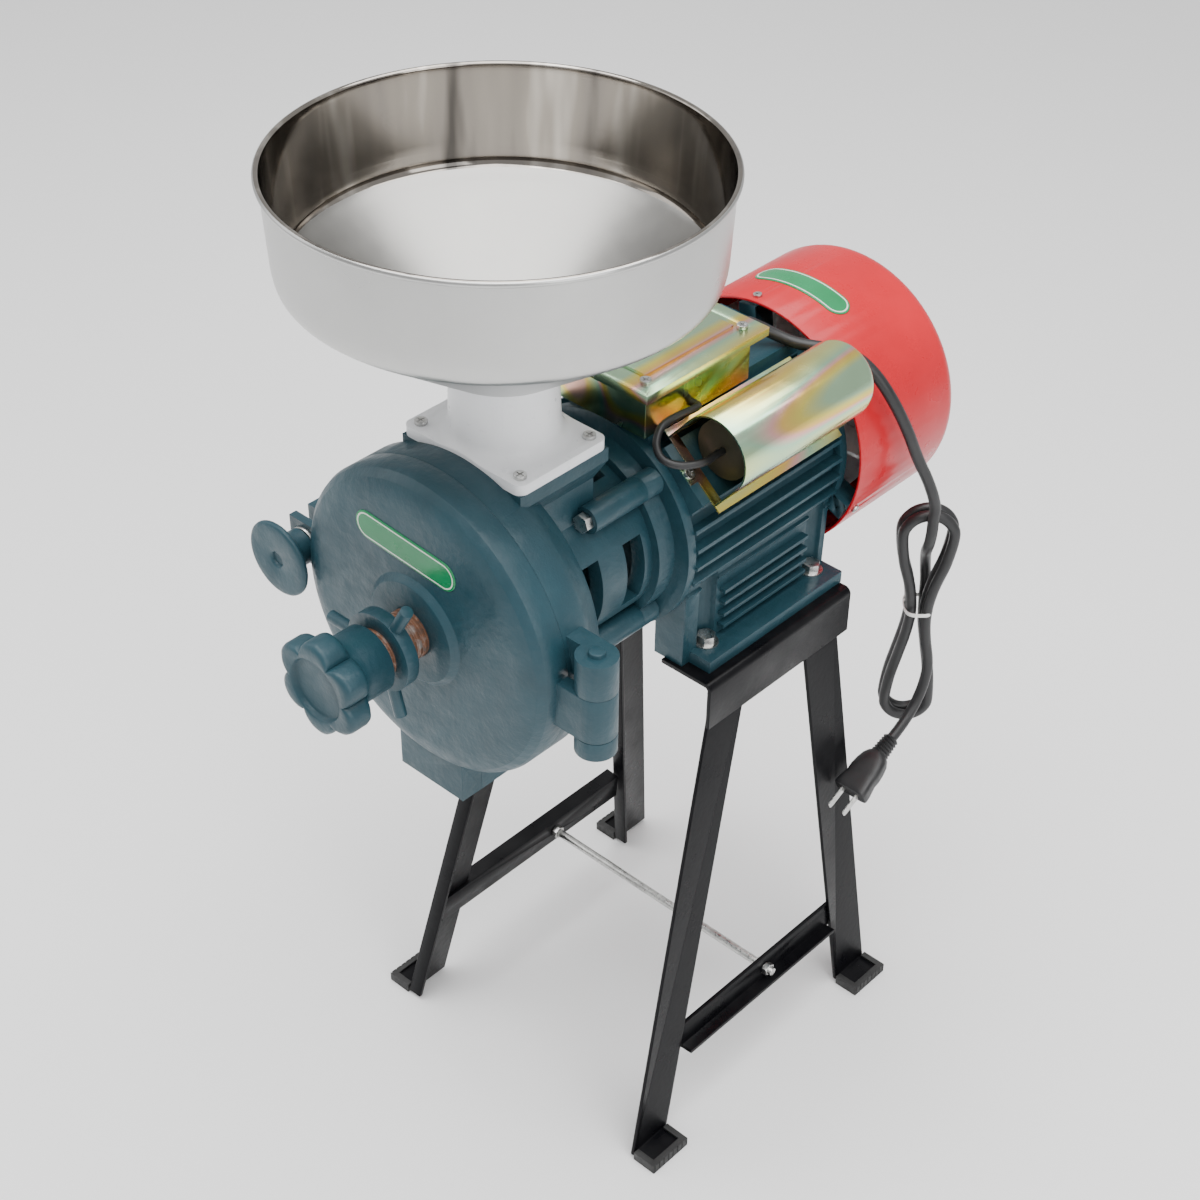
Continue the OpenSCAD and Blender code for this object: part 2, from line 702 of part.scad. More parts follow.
module fan_cover_outline(r, cut) {
  translate([0, 0, -fan_cover_rear + fan_cover_round + cut])
    cylinder(r = r, h = fan_cover_rear - fan_cover_front);
  translate([0, 0, -fan_cover_rear + fan_cover_round + cut]) rotate_extrude() {
    translate([r - fan_cover_round + cut, 0]) intersection() {
      circle(r = fan_cover_round - cut);
      translate([0, -fan_cover_round]) square(fan_cover_round);
    }
    translate([0, -fan_cover_round + cut]) square([r - fan_cover_round + cut, fan_cover_round - cut]);
  }
}
module fan_cover() color(cover_red) on_shaft() difference() {
  intersection() {
    fan_cover_outline(fan_cover_r, 0);
    translate([0, 0, -fan_cover_rear]) cylinder(r = fan_cover_r * 2,
        h = fan_cover_rear - fan_cover_front);
  }
  fan_cover_outline(fan_cover_r - fan_cover_t, fan_cover_t);
  for (k = [0:air_slots - 1]) rotate(k * 360 / air_slots)
    translate([rear_seat_r * 2, -steel_t / 2, -fan_cover_rear * 1.2])
    cube([fan_cover_r - rear_seat_r * 4, steel_t, fan_cover_rear * 0.4]);
  for (a = fan_lug_angles) rotate(a) translate([casing_r, 0, -fan_lug_at]) rotate([0, 90, 0])
    cylinder(r = fan_cover_t, h = fan_cover_r);
}
module fan_cover_screws() color(zinc) on_shaft() for (a = fan_lug_angles) rotate(a)
  translate([fan_cover_r, 0, -fan_lug_at]) rotate([0, 90, 0]) pan_screw(fan_cover_t, shield_t * 1.9);

module fan_cover_label() color(label_green) on_shaft() rotate(90)
  translate([0, 0, -fan_cover_rear + badge_len * 0.7]) intersection() {
    difference() {
      cylinder(r = fan_cover_r + badge_t, h = badge_h);
      translate([0, 0, -badge_h]) cylinder(r = fan_cover_r, h = badge_h * 3);
    }
    linear_extrude(badge_h) polygon([[0, 0], [fan_cover_r * 2, -badge_len],
        [fan_cover_r * 2, badge_len]]);
  }

module motor_foot_bolts() color(zinc)
  for (x = [-foot_bolt_x, foot_bolt_x], y = [-foot_bolt_front, foot_bolt_rear]) translate([x, y, 0]) {
    translate([0, 0, stand_h + motor_foot_t]) hex_bolt(foot_bolt_r,
        motor_foot_t + steel_t * 4 + washer_t, true);
    translate([0, 0, stand_h - steel_t - foot_bolt_r * 2 * bolt_head_share - washer_t])
      cylinder(r = foot_bolt_r * bolt_af_share, h = foot_bolt_r * 2 * bolt_head_share, $fn = 6);
    translate([0, 0, stand_h - steel_t - washer_t])
      cylinder(r = foot_bolt_r * bolt_af_share, h = washer_t);
  }

// grinding head
tube_r = feed_bore_r + feed_wall;
chamber_back = seam - chamber_depth;
plate_back = chamber_back - back_wall;
drum_back = plate_back - back_wall;
cone_r = drum_r - back_wall * 2;
chute_in = outlet_half_w - outlet_wall;

module grinder_housing() color(teal) on_shaft() difference() {
  union() {
    // neck with its windows
    difference() {
      translate([0, 0, nose_front]) cylinder(r = neck_r, h = plate_back - nose_front);
      translate([0, 0, nose_front - shield_t]) cylinder(r = neck_bore_r,
          h = feed_rear - nose_front + shield_t);
      translate([0, 0, feed_rear + feed_end_t])
        cylinder(r = neck_bore_r, h = plate_back - feed_rear - feed_end_t);
      for (s = [nose_front + shield_t, feed_rear + feed_end_t + shield_t])
        for (a = [0, 180, 90, 270]) rotate(a) translate([0, -neck_bore_r / 2, s])
          cube([neck_r * 2, neck_bore_r, feed_end_t * 2]);
    }
    // feed tube
    translate([0, 0, feed_rear]) cylinder(r = tube_r, h = plate_back - feed_rear);
    // drum
    rotate_extrude() polygon([[tube_r, drum_back], [neck_r, drum_back - back_wall * 3],
        [cone_r, drum_back - back_wall * 2],
      [drum_r - back_wall / 2, plate_back - back_wall / 2], [drum_r, plate_back + back_wall / 2],
          [drum_r, seam], [feed_bore_r, seam],
      [feed_bore_r, drum_back]]);
    // inlet tower
    translate([0, 0, inlet_y - inlet_half_d]) linear_extrude(inlet_half_d * 2)
      polygon([[-inlet_half_w, inlet_h], [inlet_half_w, inlet_h], [inlet_half_w, inlet_h - inlet_edge],
        [tube_r, inlet_h - inlet_edge * 3], [tube_r, 0], [-tube_r, 0],
            [-tube_r, inlet_h - inlet_edge * 3],
        [-inlet_half_w, inlet_h - inlet_edge]]);
    // bosses of the neck bolts
    translate([0, 0, nose_front]) neck_bolt_places()
      cylinder(r = neck_boss_r, h = neck_boss_front - nose_front);
    // flour outlet
    translate([-outlet_half_w, -outlet_drop, outlet_rear])
      cube([outlet_half_w * 2, outlet_drop - neck_r, seam - outlet_rear]);
    // hinge arms
    for (z = [[-hinge_low, -hinge_gap_low - free_gap], [hinge_gap_high + free_gap, hinge_high]]) {
      translate([chamber_r, z[0], seam - knuckle_r - hinge_back])
        cube([hinge_x - chamber_r, z[1] - z[0], knuckle_r]);
      translate([hinge_x, z[0], seam - hinge_back]) rotate([-90, 0, 0])
        cylinder(r = knuckle_r, h = z[1] - z[0]);
    }
    // clamp lug
    translate([-clamp_x - clamp_lug_w, -clamp_low - clamp_lug_w, plate_back - back_wall / 2])
      cube([clamp_x + clamp_lug_w - chamber_r, clamp_lug_w * 2, chamber_depth - free_gap]);
  }
  // grinding chamber
  translate([0, 0, chamber_back]) cylinder(r = chamber_r, h = chamber_depth * 2);
  translate([0, 0, feed_rear + feed_end_t]) cylinder(r = feed_bore_r, h = chamber_depth * 6);
  translate([0, 0, feed_rear - feed_end_t]) cylinder(r = shaft_r + free_gap, h = feed_end_t * 3);
  // grain inlet
  translate([0, 0, inlet_y]) rotate([-90, 0, 0]) cylinder(r = inlet_r, h = inlet_h * 2);
  throat_screw_places() rotate([-90, 0, 0]) translate([0, 0, -inlet_edge])
    cylinder(r = throat_screw_r, h = inlet_edge * 2);
  // chute
  translate([-chute_in, -outlet_drop * 2, outlet_rear + outlet_wall])
    cube([chute_in * 2, outlet_drop * 2 - neck_r - back_wall, chamber_depth * 4]);
  // seat of the throat's flange
  translate([-inlet_half_w - free_gap, inlet_h, inlet_y - inlet_half_d - free_gap])
    cube([(inlet_half_w + free_gap) * 2, inlet_h, (inlet_half_d + free_gap) * 2]);
  // bolt holes and hinge bores
  translate([0, 0, nose_front - shield_t]) neck_bolt_places()
    cylinder(r = neck_bolt_r, h = neck_boss_front - nose_front + shield_t);
  translate([hinge_x, -hinge_low * 2, seam - hinge_back]) rotate([-90, 0, 0])
    cylinder(r = hinge_pin_r, h = reach_all);
  translate([-clamp_x, -clamp_low, 0]) cylinder(r = clamp_screw_r + steel_t / 2, h = reach_all);
}
throat_screw_r = 2;
throat_screw_in = 8;
module throat_screw_places() for (x = [-1, 1], s = [-1, 1])
  translate([x * (inlet_half_w - throat_screw_in), inlet_h,
      inlet_y + s * (inlet_half_d - throat_screw_in)]) children();

module housing_bolts() color(zinc) on_shaft() translate([0, 0, neck_boss_front]) neck_bolt_places()
  hex_bolt(neck_bolt_r, neck_boss_front - casing_front - shield_t, false);

inlet_z = axis_z + inlet_h;
module inlet_throat() color(white_plastic) translate([0, -inlet_y, inlet_z]) difference() {
  union() {
    linear_extrude(throat_flange_t) throat_plan();
    intersection() {
      linear_extrude(throat_h) throat_plan();
      rotate_extrude() polygon([[inlet_r, throat_flange_t / 2],
        for (a = [0:10:90]) [throat_r + neck_boss_r * (1 - sin(a)),
            throat_flange_t + neck_boss_r * (1 - cos(a))],
        [throat_r - sheet_t, throat_h - sheet_t * 5], [throat_r + sheet_t, throat_h - sheet_t * 4],
            [throat_r + sheet_t, throat_h - sheet_t],
        [throat_r, throat_h], [inlet_r, throat_h]]);
    }
  }
  translate([0, 0, -throat_h]) cylinder(r = inlet_r, h = throat_h * 3);
  translate([0, 0, throat_h - spigot_len - free_gap]) cylinder(r = throat_bore_r, h = throat_h);
  for (x = [-1, 1], y = [-1, 1]) translate([x * (inlet_half_w - throat_screw_in),
      y * (inlet_half_d - throat_screw_in), -throat_h])
    {
      cylinder(r = throat_screw_r, h = throat_h * 2);
      translate([0, 0, throat_h + throat_flange_t])
        cylinder(r = throat_screw_r * 2 + free_gap, h = throat_h);
    }
}
module throat_plan() {
  r = steel_t * 2;
  square([inlet_half_w * 2 - r * 2, inlet_half_d * 2], center = true);
  square([inlet_half_w * 2, inlet_half_d * 2 - r * 2], center = true);
  for (x = [-1, 1], y = [-1, 1]) translate([x * (inlet_half_w - r), y * (inlet_half_d - r)])
    circle(r = r);
}
module throat_screws() color(zinc) on_shaft() throat_screw_places() translate([0, throat_flange_t, 0])
  rotate([-90, 0, 0]) pan_screw(throat_screw_r, throat_flange_t + inlet_edge - steel_t);

// hopper pan; heights counted from the inlet pad
pan_foot = throat_h;
pan_top = hopper_top - inlet_h;
wall_r = hopper_r - bead_r * 2.6;
pan_shares = [[0.3, 0], [0.33, 0.012], [0.91, 0.436], [0.955, 0.468], [0.98, 0.495], [0.993, 0.53],
    [1, 0.58], [1.004, 0.93], [1.02, 0.985]];
pan_last = len(pan_shares) - 1;
function pan_point(k, off) = [wall_r * pan_shares[k][0] - off,
    pan_foot + (pan_top - pan_foot) * pan_shares[k][1] + off];
module hopper() color(bright_steel) translate([0, -inlet_y, inlet_z]) rotate_extrude() {
  polygon([[spigot_r - sheet_t, pan_foot - spigot_len], [spigot_r, pan_foot - spigot_len],
      [spigot_r, pan_foot],
    for (k = [0:pan_last]) pan_point(k, 0), for (k = [pan_last:-1:0])
      pan_point(k, sheet_t), [spigot_r - sheet_t, pan_foot + sheet_t]]);
  translate([hopper_r - bead_r, pan_top - bead_r]) circle(r = bead_r);
}

auger_back = feed_rear + feed_end_t + free_gap * 3;
module feed_auger() color(iron_grey) on_shaft() difference() {
  union() {
    translate([0, 0, auger_back]) cylinder(r = auger_core_r, h = disc_back - auger_back);
    translate([0, 0, auger_back]) linear_extrude(disc_back - auger_back - disc_gap, twist = -720,
        slices = 60)
      translate([0, -auger_flight_t / 2]) square([auger_r, auger_flight_t]);
  }
  translate([0, 0, auger_back - auger_r]) cylinder(r = shaft_r, h = reach_all);
}

module grind_disc(front, eye) difference() {
  cylinder(r = disc_r, h = disc_t);
  for (k = [0:grooves - 1]) rotate(k * 360 / grooves)
    translate([disc_eye_r + groove_w, groove_w, front ? disc_t - groove_depth : -groove_depth])
    cube([disc_r, groove_w, groove_depth * 2]);
  translate([0, 0, -disc_t]) cylinder(r = eye, h = disc_t * 3);
}
module rotating_disc() color(iron_grey) on_shaft() translate([0, 0, disc_back]) {
  grind_disc(true, disc_eye_r);
  difference() {
    union() {
      cylinder(r = auger_core_r, h = disc_t);
      for (k = [0:2]) rotate(k * 120) translate([0, -auger_flight_t, 0])
        cube([disc_eye_r + groove_w, auger_flight_t * 2, disc_t - groove_depth]);
    }
    translate([0, 0, -disc_t]) cylinder(r = shaft_r, h = disc_t * 3);
  }
}
key_w = outlet_wall;
module stationary_disc() color(iron_grey) on_shaft() translate([0, 0, disc_front + disc_gap])
  difference() {
  grind_disc(false, auger_core_r);
  for (s = [-1, 1]) translate([-key_w - free_gap, s * disc_r - key_w, -disc_t])
    cube([key_w * 2 + free_gap * 2, key_w * 2, disc_t * 3]);
}
carrier_back = disc_front + disc_gap + disc_t;
cover_inside = seam + cover_h - cover_wall;
carrier_t = cover_inside - carrier_back - adjust_travel - free_gap;
tip_r = adjust_r / 2;
module disc_carrier() color(iron_grey) on_shaft() difference() {
  union() {
    translate([0, 0, carrier_back]) cylinder(r = disc_r * 0.8, h = carrier_t);
    translate([0, 0, carrier_back - disc_t + groove_depth]) cylinder(r = auger_core_r, h = disc_t);
  }
  translate([0, 0, carrier_back - groove_depth]) cylinder(r = tip_r + run_gap, h = disc_t);
}

// front cover
module front_cover() color(teal) on_shaft() difference() {
  union() {
    rotate_extrude() polygon([[0, seam], [drum_r, seam], [drum_r, seam + cover_rim * rim_share],
        [drum_r - free_gap * 5, seam + cover_rim],
      [drum_r - (drum_r - cover_face_r) * 0.3, seam + cover_h - (cover_h - cover_rim) * 0.44],
      [drum_r - (drum_r - cover_face_r) * 0.65, seam + cover_h - (cover_h - cover_rim) * 0.12],
          [cover_face_r, seam + cover_h],
      [cover_boss_r + cover_boss_h, seam + cover_h], [cover_boss_r, seam + cover_h + cover_boss_h],
          [0, seam + cover_h + cover_boss_h]]);
    translate([-outlet_half_w, -outlet_drop, seam])
      cube([outlet_half_w * 2, outlet_drop - disc_r, outlet_front - seam]);
    translate([chamber_r, -hinge_gap_low, seam + free_gap])
      cube([hinge_x - chamber_r, hinge_gap_low + hinge_gap_high, knuckle_r - hinge_back - free_gap]);
    translate([hinge_x, -hinge_gap_low, seam - hinge_back]) rotate([-90, 0, 0])
      cylinder(r = knuckle_r, h = hinge_gap_low + hinge_gap_high);
    translate([-clamp_x - clamp_lug_w, -clamp_low - clamp_lug_w, seam + free_gap])
      cube([clamp_x + clamp_lug_w - chamber_r, clamp_lug_w * 2, back_wall]);
  }
  difference() {
    translate([0, 0, seam - cover_h]) cylinder(r = chamber_r, h = cover_h * 2 - cover_wall);
    for (s = [-1, 1]) translate([-key_w, s > 0 ? disc_r - key_w + free_gap : -chamber_r - key_w,
        seam + disc_gap])
      cube([key_w * 2, chamber_r - disc_r + key_w * 2 - free_gap, cover_h]);
  }
  translate([-chute_in, -outlet_drop * 2, seam - cover_h])
    cube([chute_in * 2, outlet_drop * 2 - disc_r - free_gap,
      cover_h + outlet_front - seam - outlet_wall]);
  translate([0, 0, seam]) cylinder(r = adjust_r + run_gap, h = cover_h * 2);
  translate([hinge_x, -hinge_low * 2, seam - hinge_back]) rotate([-90, 0, 0])
    cylinder(r = hinge_pin_r + run_gap, h = reach_all);
  translate([-clamp_x, -clamp_low, seam]) cylinder(r = clamp_screw_r + run_gap, h = reach_all);
}

module hinge_pin() color(zinc) on_shaft() translate([hinge_x, -hinge_low, seam - hinge_back])
  rotate([-90, 0, 0]) {
  cylinder(r = hinge_pin_r, h = hinge_low + hinge_high + hinge_head_h);
}

screw_back = carrier_back + carrier_t + free_gap;
lobes_back = seam + knob_front - knob_t;
hub_back = lobes_back - hub_len;
module adjusting_screw() color(iron_grey) on_shaft() {
  translate([0, 0, screw_back]) cylinder(r = adjust_r, h = hub_back - screw_back);
  translate([0, 0, carrier_back - groove_depth + free_gap])
    cylinder(r = tip_r, h = screw_back - carrier_back + groove_depth);
}
module adjusting_knob() color(teal) on_shaft() difference() {
  union() {
    translate([0, 0, hub_back]) cylinder(r = hub_r, h = hub_len + knob_t / 2);
    translate([0, 0, lobes_back]) cylinder(r = knob_r - lobe_r, h = knob_t);
    for (k = [0:5]) rotate(k * 60 + 30) translate([knob_r - lobe_r, 0, lobes_back])
      cylinder(r = lobe_r, h = knob_t);
  }
  translate([0, 0, seam + knob_front - dish_depth]) cylinder(r = dish_r, h = dish_depth * 2);
}
module lock_ring() color(teal) on_shaft() translate([0, 0, seam + lock_ring_at - lock_ring_t / 2])
  difference() {
  union() {
    cylinder(r = lock_ring_r, h = lock_ring_t);
    for (a = [60, 180, 285]) rotate(a) translate([adjust_r + steel_t, 0, lock_ring_t / 2])
      rotate([0, 90, 0])
      cylinder(r = peg_r, h = peg_reach - adjust_r - steel_t);
  }
  translate([0, 0, -lock_ring_t]) cylinder(r = adjust_r + run_gap, h = lock_ring_t * 3);
}
clamp_seat = seam + free_gap + back_wall;
module clamp_washer() color(zinc) on_shaft() translate([-clamp_x, -clamp_low, clamp_seat]) difference()
  {
  cylinder(r = clamp_neck_r, h = steel_t - free_gap);
  translate([0, 0, -steel_t]) cylinder(r = clamp_screw_r + run_gap, h = steel_t * 3);
}
module clamp_knob() color(teal) on_shaft() translate([-clamp_x, -clamp_low, clamp_seat + steel_t]) {
  rotate_extrude() polygon([[0, 0], [clamp_neck_r, 0], [clamp_neck_r, clamp_knob_len * 0.35],
      [clamp_neck_r * 1.2, clamp_knob_len * 0.55],
    [clamp_knob_r - steel_t, clamp_knob_len - clamp_disc_t],
        [clamp_knob_r, clamp_knob_len - clamp_disc_t * 0.8],
    [clamp_knob_r, clamp_knob_len - clamp_disc_t * 0.2], [clamp_knob_r - steel_t / 2, clamp_knob_len],
        [clamp_screw_r, clamp_knob_len],
    [clamp_screw_r, clamp_knob_len - steel_t], [0, clamp_knob_len - steel_t]]);
  translate([0, 0, plate_back + back_wall - clamp_seat - steel_t])
    cylinder(r = clamp_screw_r, h = clamp_seat + steel_t * 2 - plate_back - back_wall);
}
module cover_badge() color(label_green) on_shaft() translate([-clamp_screw_r, badge_up, seam + cover_h])
  rotate(badge_turn) {
  straight_len = badge_len - badge_h;
  translate([-straight_len / 2, -badge_h / 2, 0]) cube([straight_len, badge_h, badge_t]);
  for (s = [-1, 1]) translate([s * straight_len / 2, 0, 0]) cylinder(r = badge_h / 2, h = badge_t);
}

// electrics
lid_screw_r = 1.8;
lid_screw_in = 4;
lead_d = 5;
lead_up = 87;
lead_from = 14;
module lid_screw_places() for (x = [-1, 1], s = [box_front - lid_screw_in, -box_rear + lid_screw_in])
  translate([x * (box_half_w - lid_screw_in), box_seat + box_h, s]) children();

module terminal_box() color(zinc_gold) on_shaft() difference() {
  union() {
    difference() {
      translate([-box_half_w, box_seat, -box_rear]) cube([box_half_w * 2, box_h, box_front + box_rear]);
      translate([-box_half_w + box_wall, box_seat + box_wall, -box_rear + box_wall])
        cube([(box_half_w - box_wall) * 2, box_h, box_front + box_rear - box_wall * 2]);
    }
    lid_screw_places() rotate([90, 0, 0]) cylinder(r = lid_screw_in, h = box_h);
  }
  lid_screw_places() rotate([90, 0, 0]) translate([0, 0, -box_h])
    cylinder(r = lid_screw_r, h = box_h * 1.7);
  rotate([-90, 0, 0]) cylinder(r = shaft_r, h = box_seat + box_wall * 2);
  translate([gland_x, gland_up, -box_rear * 2]) cylinder(r = cord_d * 0.75, h = box_rear * 2);
  translate([0, lead_up, lead_from]) rotate([0, 90, 0]) cylinder(r = lead_d / 2, h = box_half_w * 2);
}
module terminal_box_lid() color(zinc_gold) on_shaft() difference() {
  union() {
    translate([-box_half_w - lid_over, box_seat + box_h, -box_rear - lid_over])
      cube([(box_half_w + lid_over) * 2, lid_t, box_front + box_rear + lid_over * 2]);
    translate([-box_half_w + lid_over, box_seat + box_h + lid_t, -box_rear + lid_over])
      cube([(box_half_w - lid_over) * 2, lid_panel_h, box_front + box_rear - lid_over * 2]);
  }
  lid_screw_places() rotate([-90, 0, 0]) translate([0, 0, -lid_t])
    cylinder(r = lid_screw_r, h = lid_t * 3);
}
module lid_screws() color(zinc) on_shaft() lid_screw_places() translate([0, lid_t, 0])
  rotate([-90, 0, 0])
  pan_screw(lid_screw_r, lid_t * 3);
module terminal_block() color(white_plastic) on_shaft()
  translate([0, box_seat + box_wall, lead_from + shaft_r]) {
  long = box_half_w;
  translate([-long / 2, 0, 0]) cube([long, lid_over, lid_over]);
  for (k = [0:3]) translate([(k - 1.5) * lid_over, 0, lid_over / 2]) rotate([-90, 0, 0])
    cylinder(r = lid_screw_r, h = lid_over + lid_screw_r);
}

module on_cap_seat() on_shaft() rotate(cap_angle - 90) translate([cap_side, cap_seat, 0]) children();
arch_up = max(cap_cover_h - cap_cover_r, cap_cover_r);
round_at = cap_round - cap_rear;
module cap_solid(cut, front) {
  r = cap_cover_r - cut;
  edge = cap_round - cut;
  translate([0, 0, round_at]) linear_extrude(front - round_at) {
    translate([-r, 0]) square([r * 2, arch_up]);
    translate([0, arch_up]) circle(r = r);
  }
  translate([0, arch_up, round_at]) rotate_extrude() {
    translate([r - edge, 0]) circle(r = edge);
    translate([0, -edge]) square([r - edge, edge * 2]);
  }
  translate([edge - r, 0, round_at - edge]) cube([(r - edge) * 2, arch_up, edge]);
  for (s = [-1, 1]) translate([s * (r - edge), 0, round_at]) rotate([-90, 0, 0])
    cylinder(r = edge, h = arch_up);
}
tab_out = casing_front - cap_front;
module capacitor_cover() color(zinc_gold) on_cap_seat() difference() {
  union() {
    cap_solid(0, cap_front);
    translate([-cap_cover_r - cap_lip, 0, round_at])
      cube([(cap_cover_r + cap_lip) * 2, cap_sheet, cap_front - round_at]);
    translate([-tab_out, 0, -cap_rear - tab_out * 1.1]) cube([tab_out * 2, cap_sheet, cap_rear]);
    translate([-tab_out, 0, cap_front - tab_out]) cube([tab_out * 2, cap_sheet, tab_out * 2]);
  }
  difference() {
    cap_solid(cap_sheet, cap_front * 2);
    translate([-cap_cover_r, 0, cap_front - tab_out]) cube([cap_cover_r * 2, cap_sheet, tab_out * 2]);
    translate([-tab_out, 0, -cap_rear]) cube([tab_out * 2, cap_sheet, capacitor_r]);
  }
  translate([cap_sheet - cap_cover_r, -cap_sheet, capacitor_r - cap_rear])
    cube([(cap_cover_r - cap_sheet) * 2, cap_sheet * 2, cap_rear - capacitor_r + cap_front - tab_out]);
  cap_screw_places() translate([0, 0, -cap_sheet]) cylinder(r = lid_screw_r, h = cap_sheet * 3);
}
module cap_screw_places() for (s = [cap_front + tab_out / 2, -cap_rear - lid_screw_r * 2 - free_gap])
  translate([0, 0, s]) rotate([-90, 0, 0]) children();
module capacitor_screws() color(zinc) on_cap_seat() cap_screw_places() translate([0, 0, cap_sheet])
  pan_screw(lid_screw_r, lid_over);
capacitor_front = cap_front - shield_t * 2;
module capacitor() color(dark_plastic) on_cap_seat()
  translate([0, capacitor_r, capacitor_front - capacitor_len]) {
  cylinder(r = capacitor_r, h = capacitor_len);
}

// swept tubes
function unit(v) = v / norm(v);
function dirs(p) = [for (i = [0:len(p) - 1]) unit(p[min(i + 1, len(p) - 1)] - p[max(i - 1, 0)])];
function across(n, d) = unit(n - (n * d) * d);
function normals(d, n0) = [for (i = 0, n = across(n0, d[0]); i < len(d); i = i + 1,
    n = i < len(d) ? across(n, d[i]) : n) n];
function ring(c, d, n, r, sides) = [for (k = [0:sides - 1]) c + r * (cos(k * 360 / sides) * n + sin(k * 360 / sides) * cross(d, n))];
function spline(p, q, r, s, t) = 0.5 * (2 * q + (r - p) * t + (2 * p - 5 * q + 4 * r - s) * t * t + (3 * q - p - 3 * r + s) * t * t * t);
function smooth(p, m) = [for (i = [0:len(p) - 2], k = [0:m - 1])
  spline(p[max(i - 1, 0)], p[i], p[i + 1], p[min(i + 2, len(p) - 1)], k / m), p[len(p) - 1]];

module tube(path, r, sides, n0) {
  d = dirs(path);
  nn = normals(d, n0);
  rings = [for (i = [0:len(path) - 1]) ring(path[i], d[i], nn[i], r, sides)];
  last = (len(path) - 1) * sides;
  polyhedron(points = [for (g = rings, q = g) q], faces = concat(
    [[for (k = [0:sides - 1]) k]], [[for (k = [sides - 1:-1:0]) last + k]],
    [for (i = [0:len(path) - 2], k = [0:sides - 1]) [i * sides + k, (i + 1) * sides + k,
        i * sides + (k + 1) % sides]],
    [for (i = [0:len(path) - 2], k = [0:sides - 1]) [(i + 1) * sides + k,
        (i + 1) * sides + (k + 1) % sides, i * sides + (k + 1) % sides]]));
}

cap_mid = [cap_seat + capacitor_r, cap_side];
lead_end = [cap_mid[0] * cos(cap_angle) + cap_mid[1] * sin(cap_angle), -capacitor_front,
  axis_z + cap_mid[0] * sin(cap_angle) - cap_mid[1] * cos(cap_angle)];
lead_route = [[box_half_w - box_wall, -lead_from, axis_z + lead_up],
    [box_half_w + lead_d, -lead_from, axis_z + lead_up], 
  [49, -22, axis_z + 89], [49, -40, axis_z + 91], [50, -53, axis_z + 90], [54, -61, axis_z + 83],
  [61, -62, axis_z + 76], [69, -55, axis_z + 72],
  [lead_end[0], -42, lead_end[2]], [lead_end[0], -32, lead_end[2]], lead_end];
module capacitor_lead() color(rubber_black) tube(smooth(lead_route, 2), lead_d / 2, 8, [0, 0, 1]);

// hank; across, towards the front and up
hank_at = [98, 181, 0];
hank_turn = 42;
function hank_point(q) = hank_at + [q[0] * cos(hank_turn) + q[1] * sin(hank_turn),
    q[0] * sin(hank_turn) - q[1] * cos(hank_turn), q[2]];
cord_start = [gland_x, box_rear + relief_len, axis_z + gland_up];
// points counted from the shaft's height
cord_arch = [[26, 84, 88], [38, 92, 83], [50, 101, 81], [62, 109, 80], [75, 115, 75], [87, 120, 64],
  [97, 126, 47], [104, 134, 26], [109, 143, 2], [113, 151, -16], [116, 156, -30]];
cord_lead_in = [[0, 28.5, -42], [0, 28.5, -50], [0, 28.5, -58], [0, 28, -66], [0, 24, -76],
    [0.5, 16, -86],
  [1.5, 7, -96], [3, 1.2, -109], [4.8, 0, -125]];
cord_tail = [[119, 174, -186], [120, 171, -202], [120, 164, -216], [120, 155, -225], [120, 146, -231],
    [120, 137, -235.4]];
function from_shaft(p) = p + [0, 0, axis_z];
cord_route = concat([cord_start, cord_start + [0, cord_d / 2, 0], cord_start + [0, cord_d, 0]],
    [for (p = cord_arch) from_shaft(p)],
  [for (k = [0:1]) hank_point(from_shaft(cord_lead_in[k]))]);
module power_cord() color(rubber_black) tube(smooth(cord_route, 2), cord_d / 2, 8, [0, 0, 1]);

hank_top_z = axis_z - 74;
hank_low_z = axis_z - 228;
waist_z = axis_z - 141;
waist_w = 5.4;
hank_top_w = 18;
hank_low_w = 16;
layer = 9.5;
function run_w(z) = z > waist_z ? waist_w + (hank_top_w - waist_w)
  * (1 - cos(180 * (z - waist_z) / (hank_top_z - waist_z))) / 2
  : waist_w + (hank_low_w - waist_w) * (1 - cos(180 * (waist_z - z) / (waist_z - hank_low_z))) / 2;
run_drops = [74, 96, 119, 141, 162, 184, 206, 228];
run_zs = [for (d = run_drops) axis_z - d];
function down_run(n, from, to) = [for (i = [from:to]) [run_w(run_zs[i]), n, run_zs[i]]];
function up_run(n) = [for (i = [7:-1:0]) [-run_w(run_zs[i]), n + layer * (7 - i) / 7, run_zs[i]]];
function low_turn(n) = [for (a = [30:30:150]) [hank_low_w * cos(a), n,
    hank_low_z - hank_low_w * sin(a)]];
function top_turn(n) = [for (a = [150:-30:30]) [hank_top_w * cos(a), n,
    hank_top_z + hank_top_w * sin(a)]];
hank_path = concat(
  [for (k = [1:8]) hank_point(from_shaft(cord_lead_in[k]))],
  [for (q = concat(down_run(0, 3, 7), low_turn(0), up_run(0), top_turn(layer), down_run(layer, 0, 7),
      low_turn(layer),
    up_run(layer), top_turn(layer * 2), down_run(layer * 2, 0, 4))) hank_point(q)],
  [for (p = cord_tail) from_shaft(p)]);
hank_gap = min([for (i = [0:len(hank_path) - 1],
    j = [i:len(hank_path) - 1]) if (j > i + 4) norm(hank_path[i] - hank_path[j])]) - cord_d;
echo(hank_gap = hank_gap);
cord_len = cord_sum(smooth(cord_route, 2)) + cord_sum(hank_path);
function cord_sum(p) = sum_up([for (i = [0:len(p) - 2]) norm(p[i + 1] - p[i])], 0);
function sum_up(v, i) = i >= len(v) ? 0 : v[i] + sum_up(v, i + 1);
echo(cord_len = cord_len);
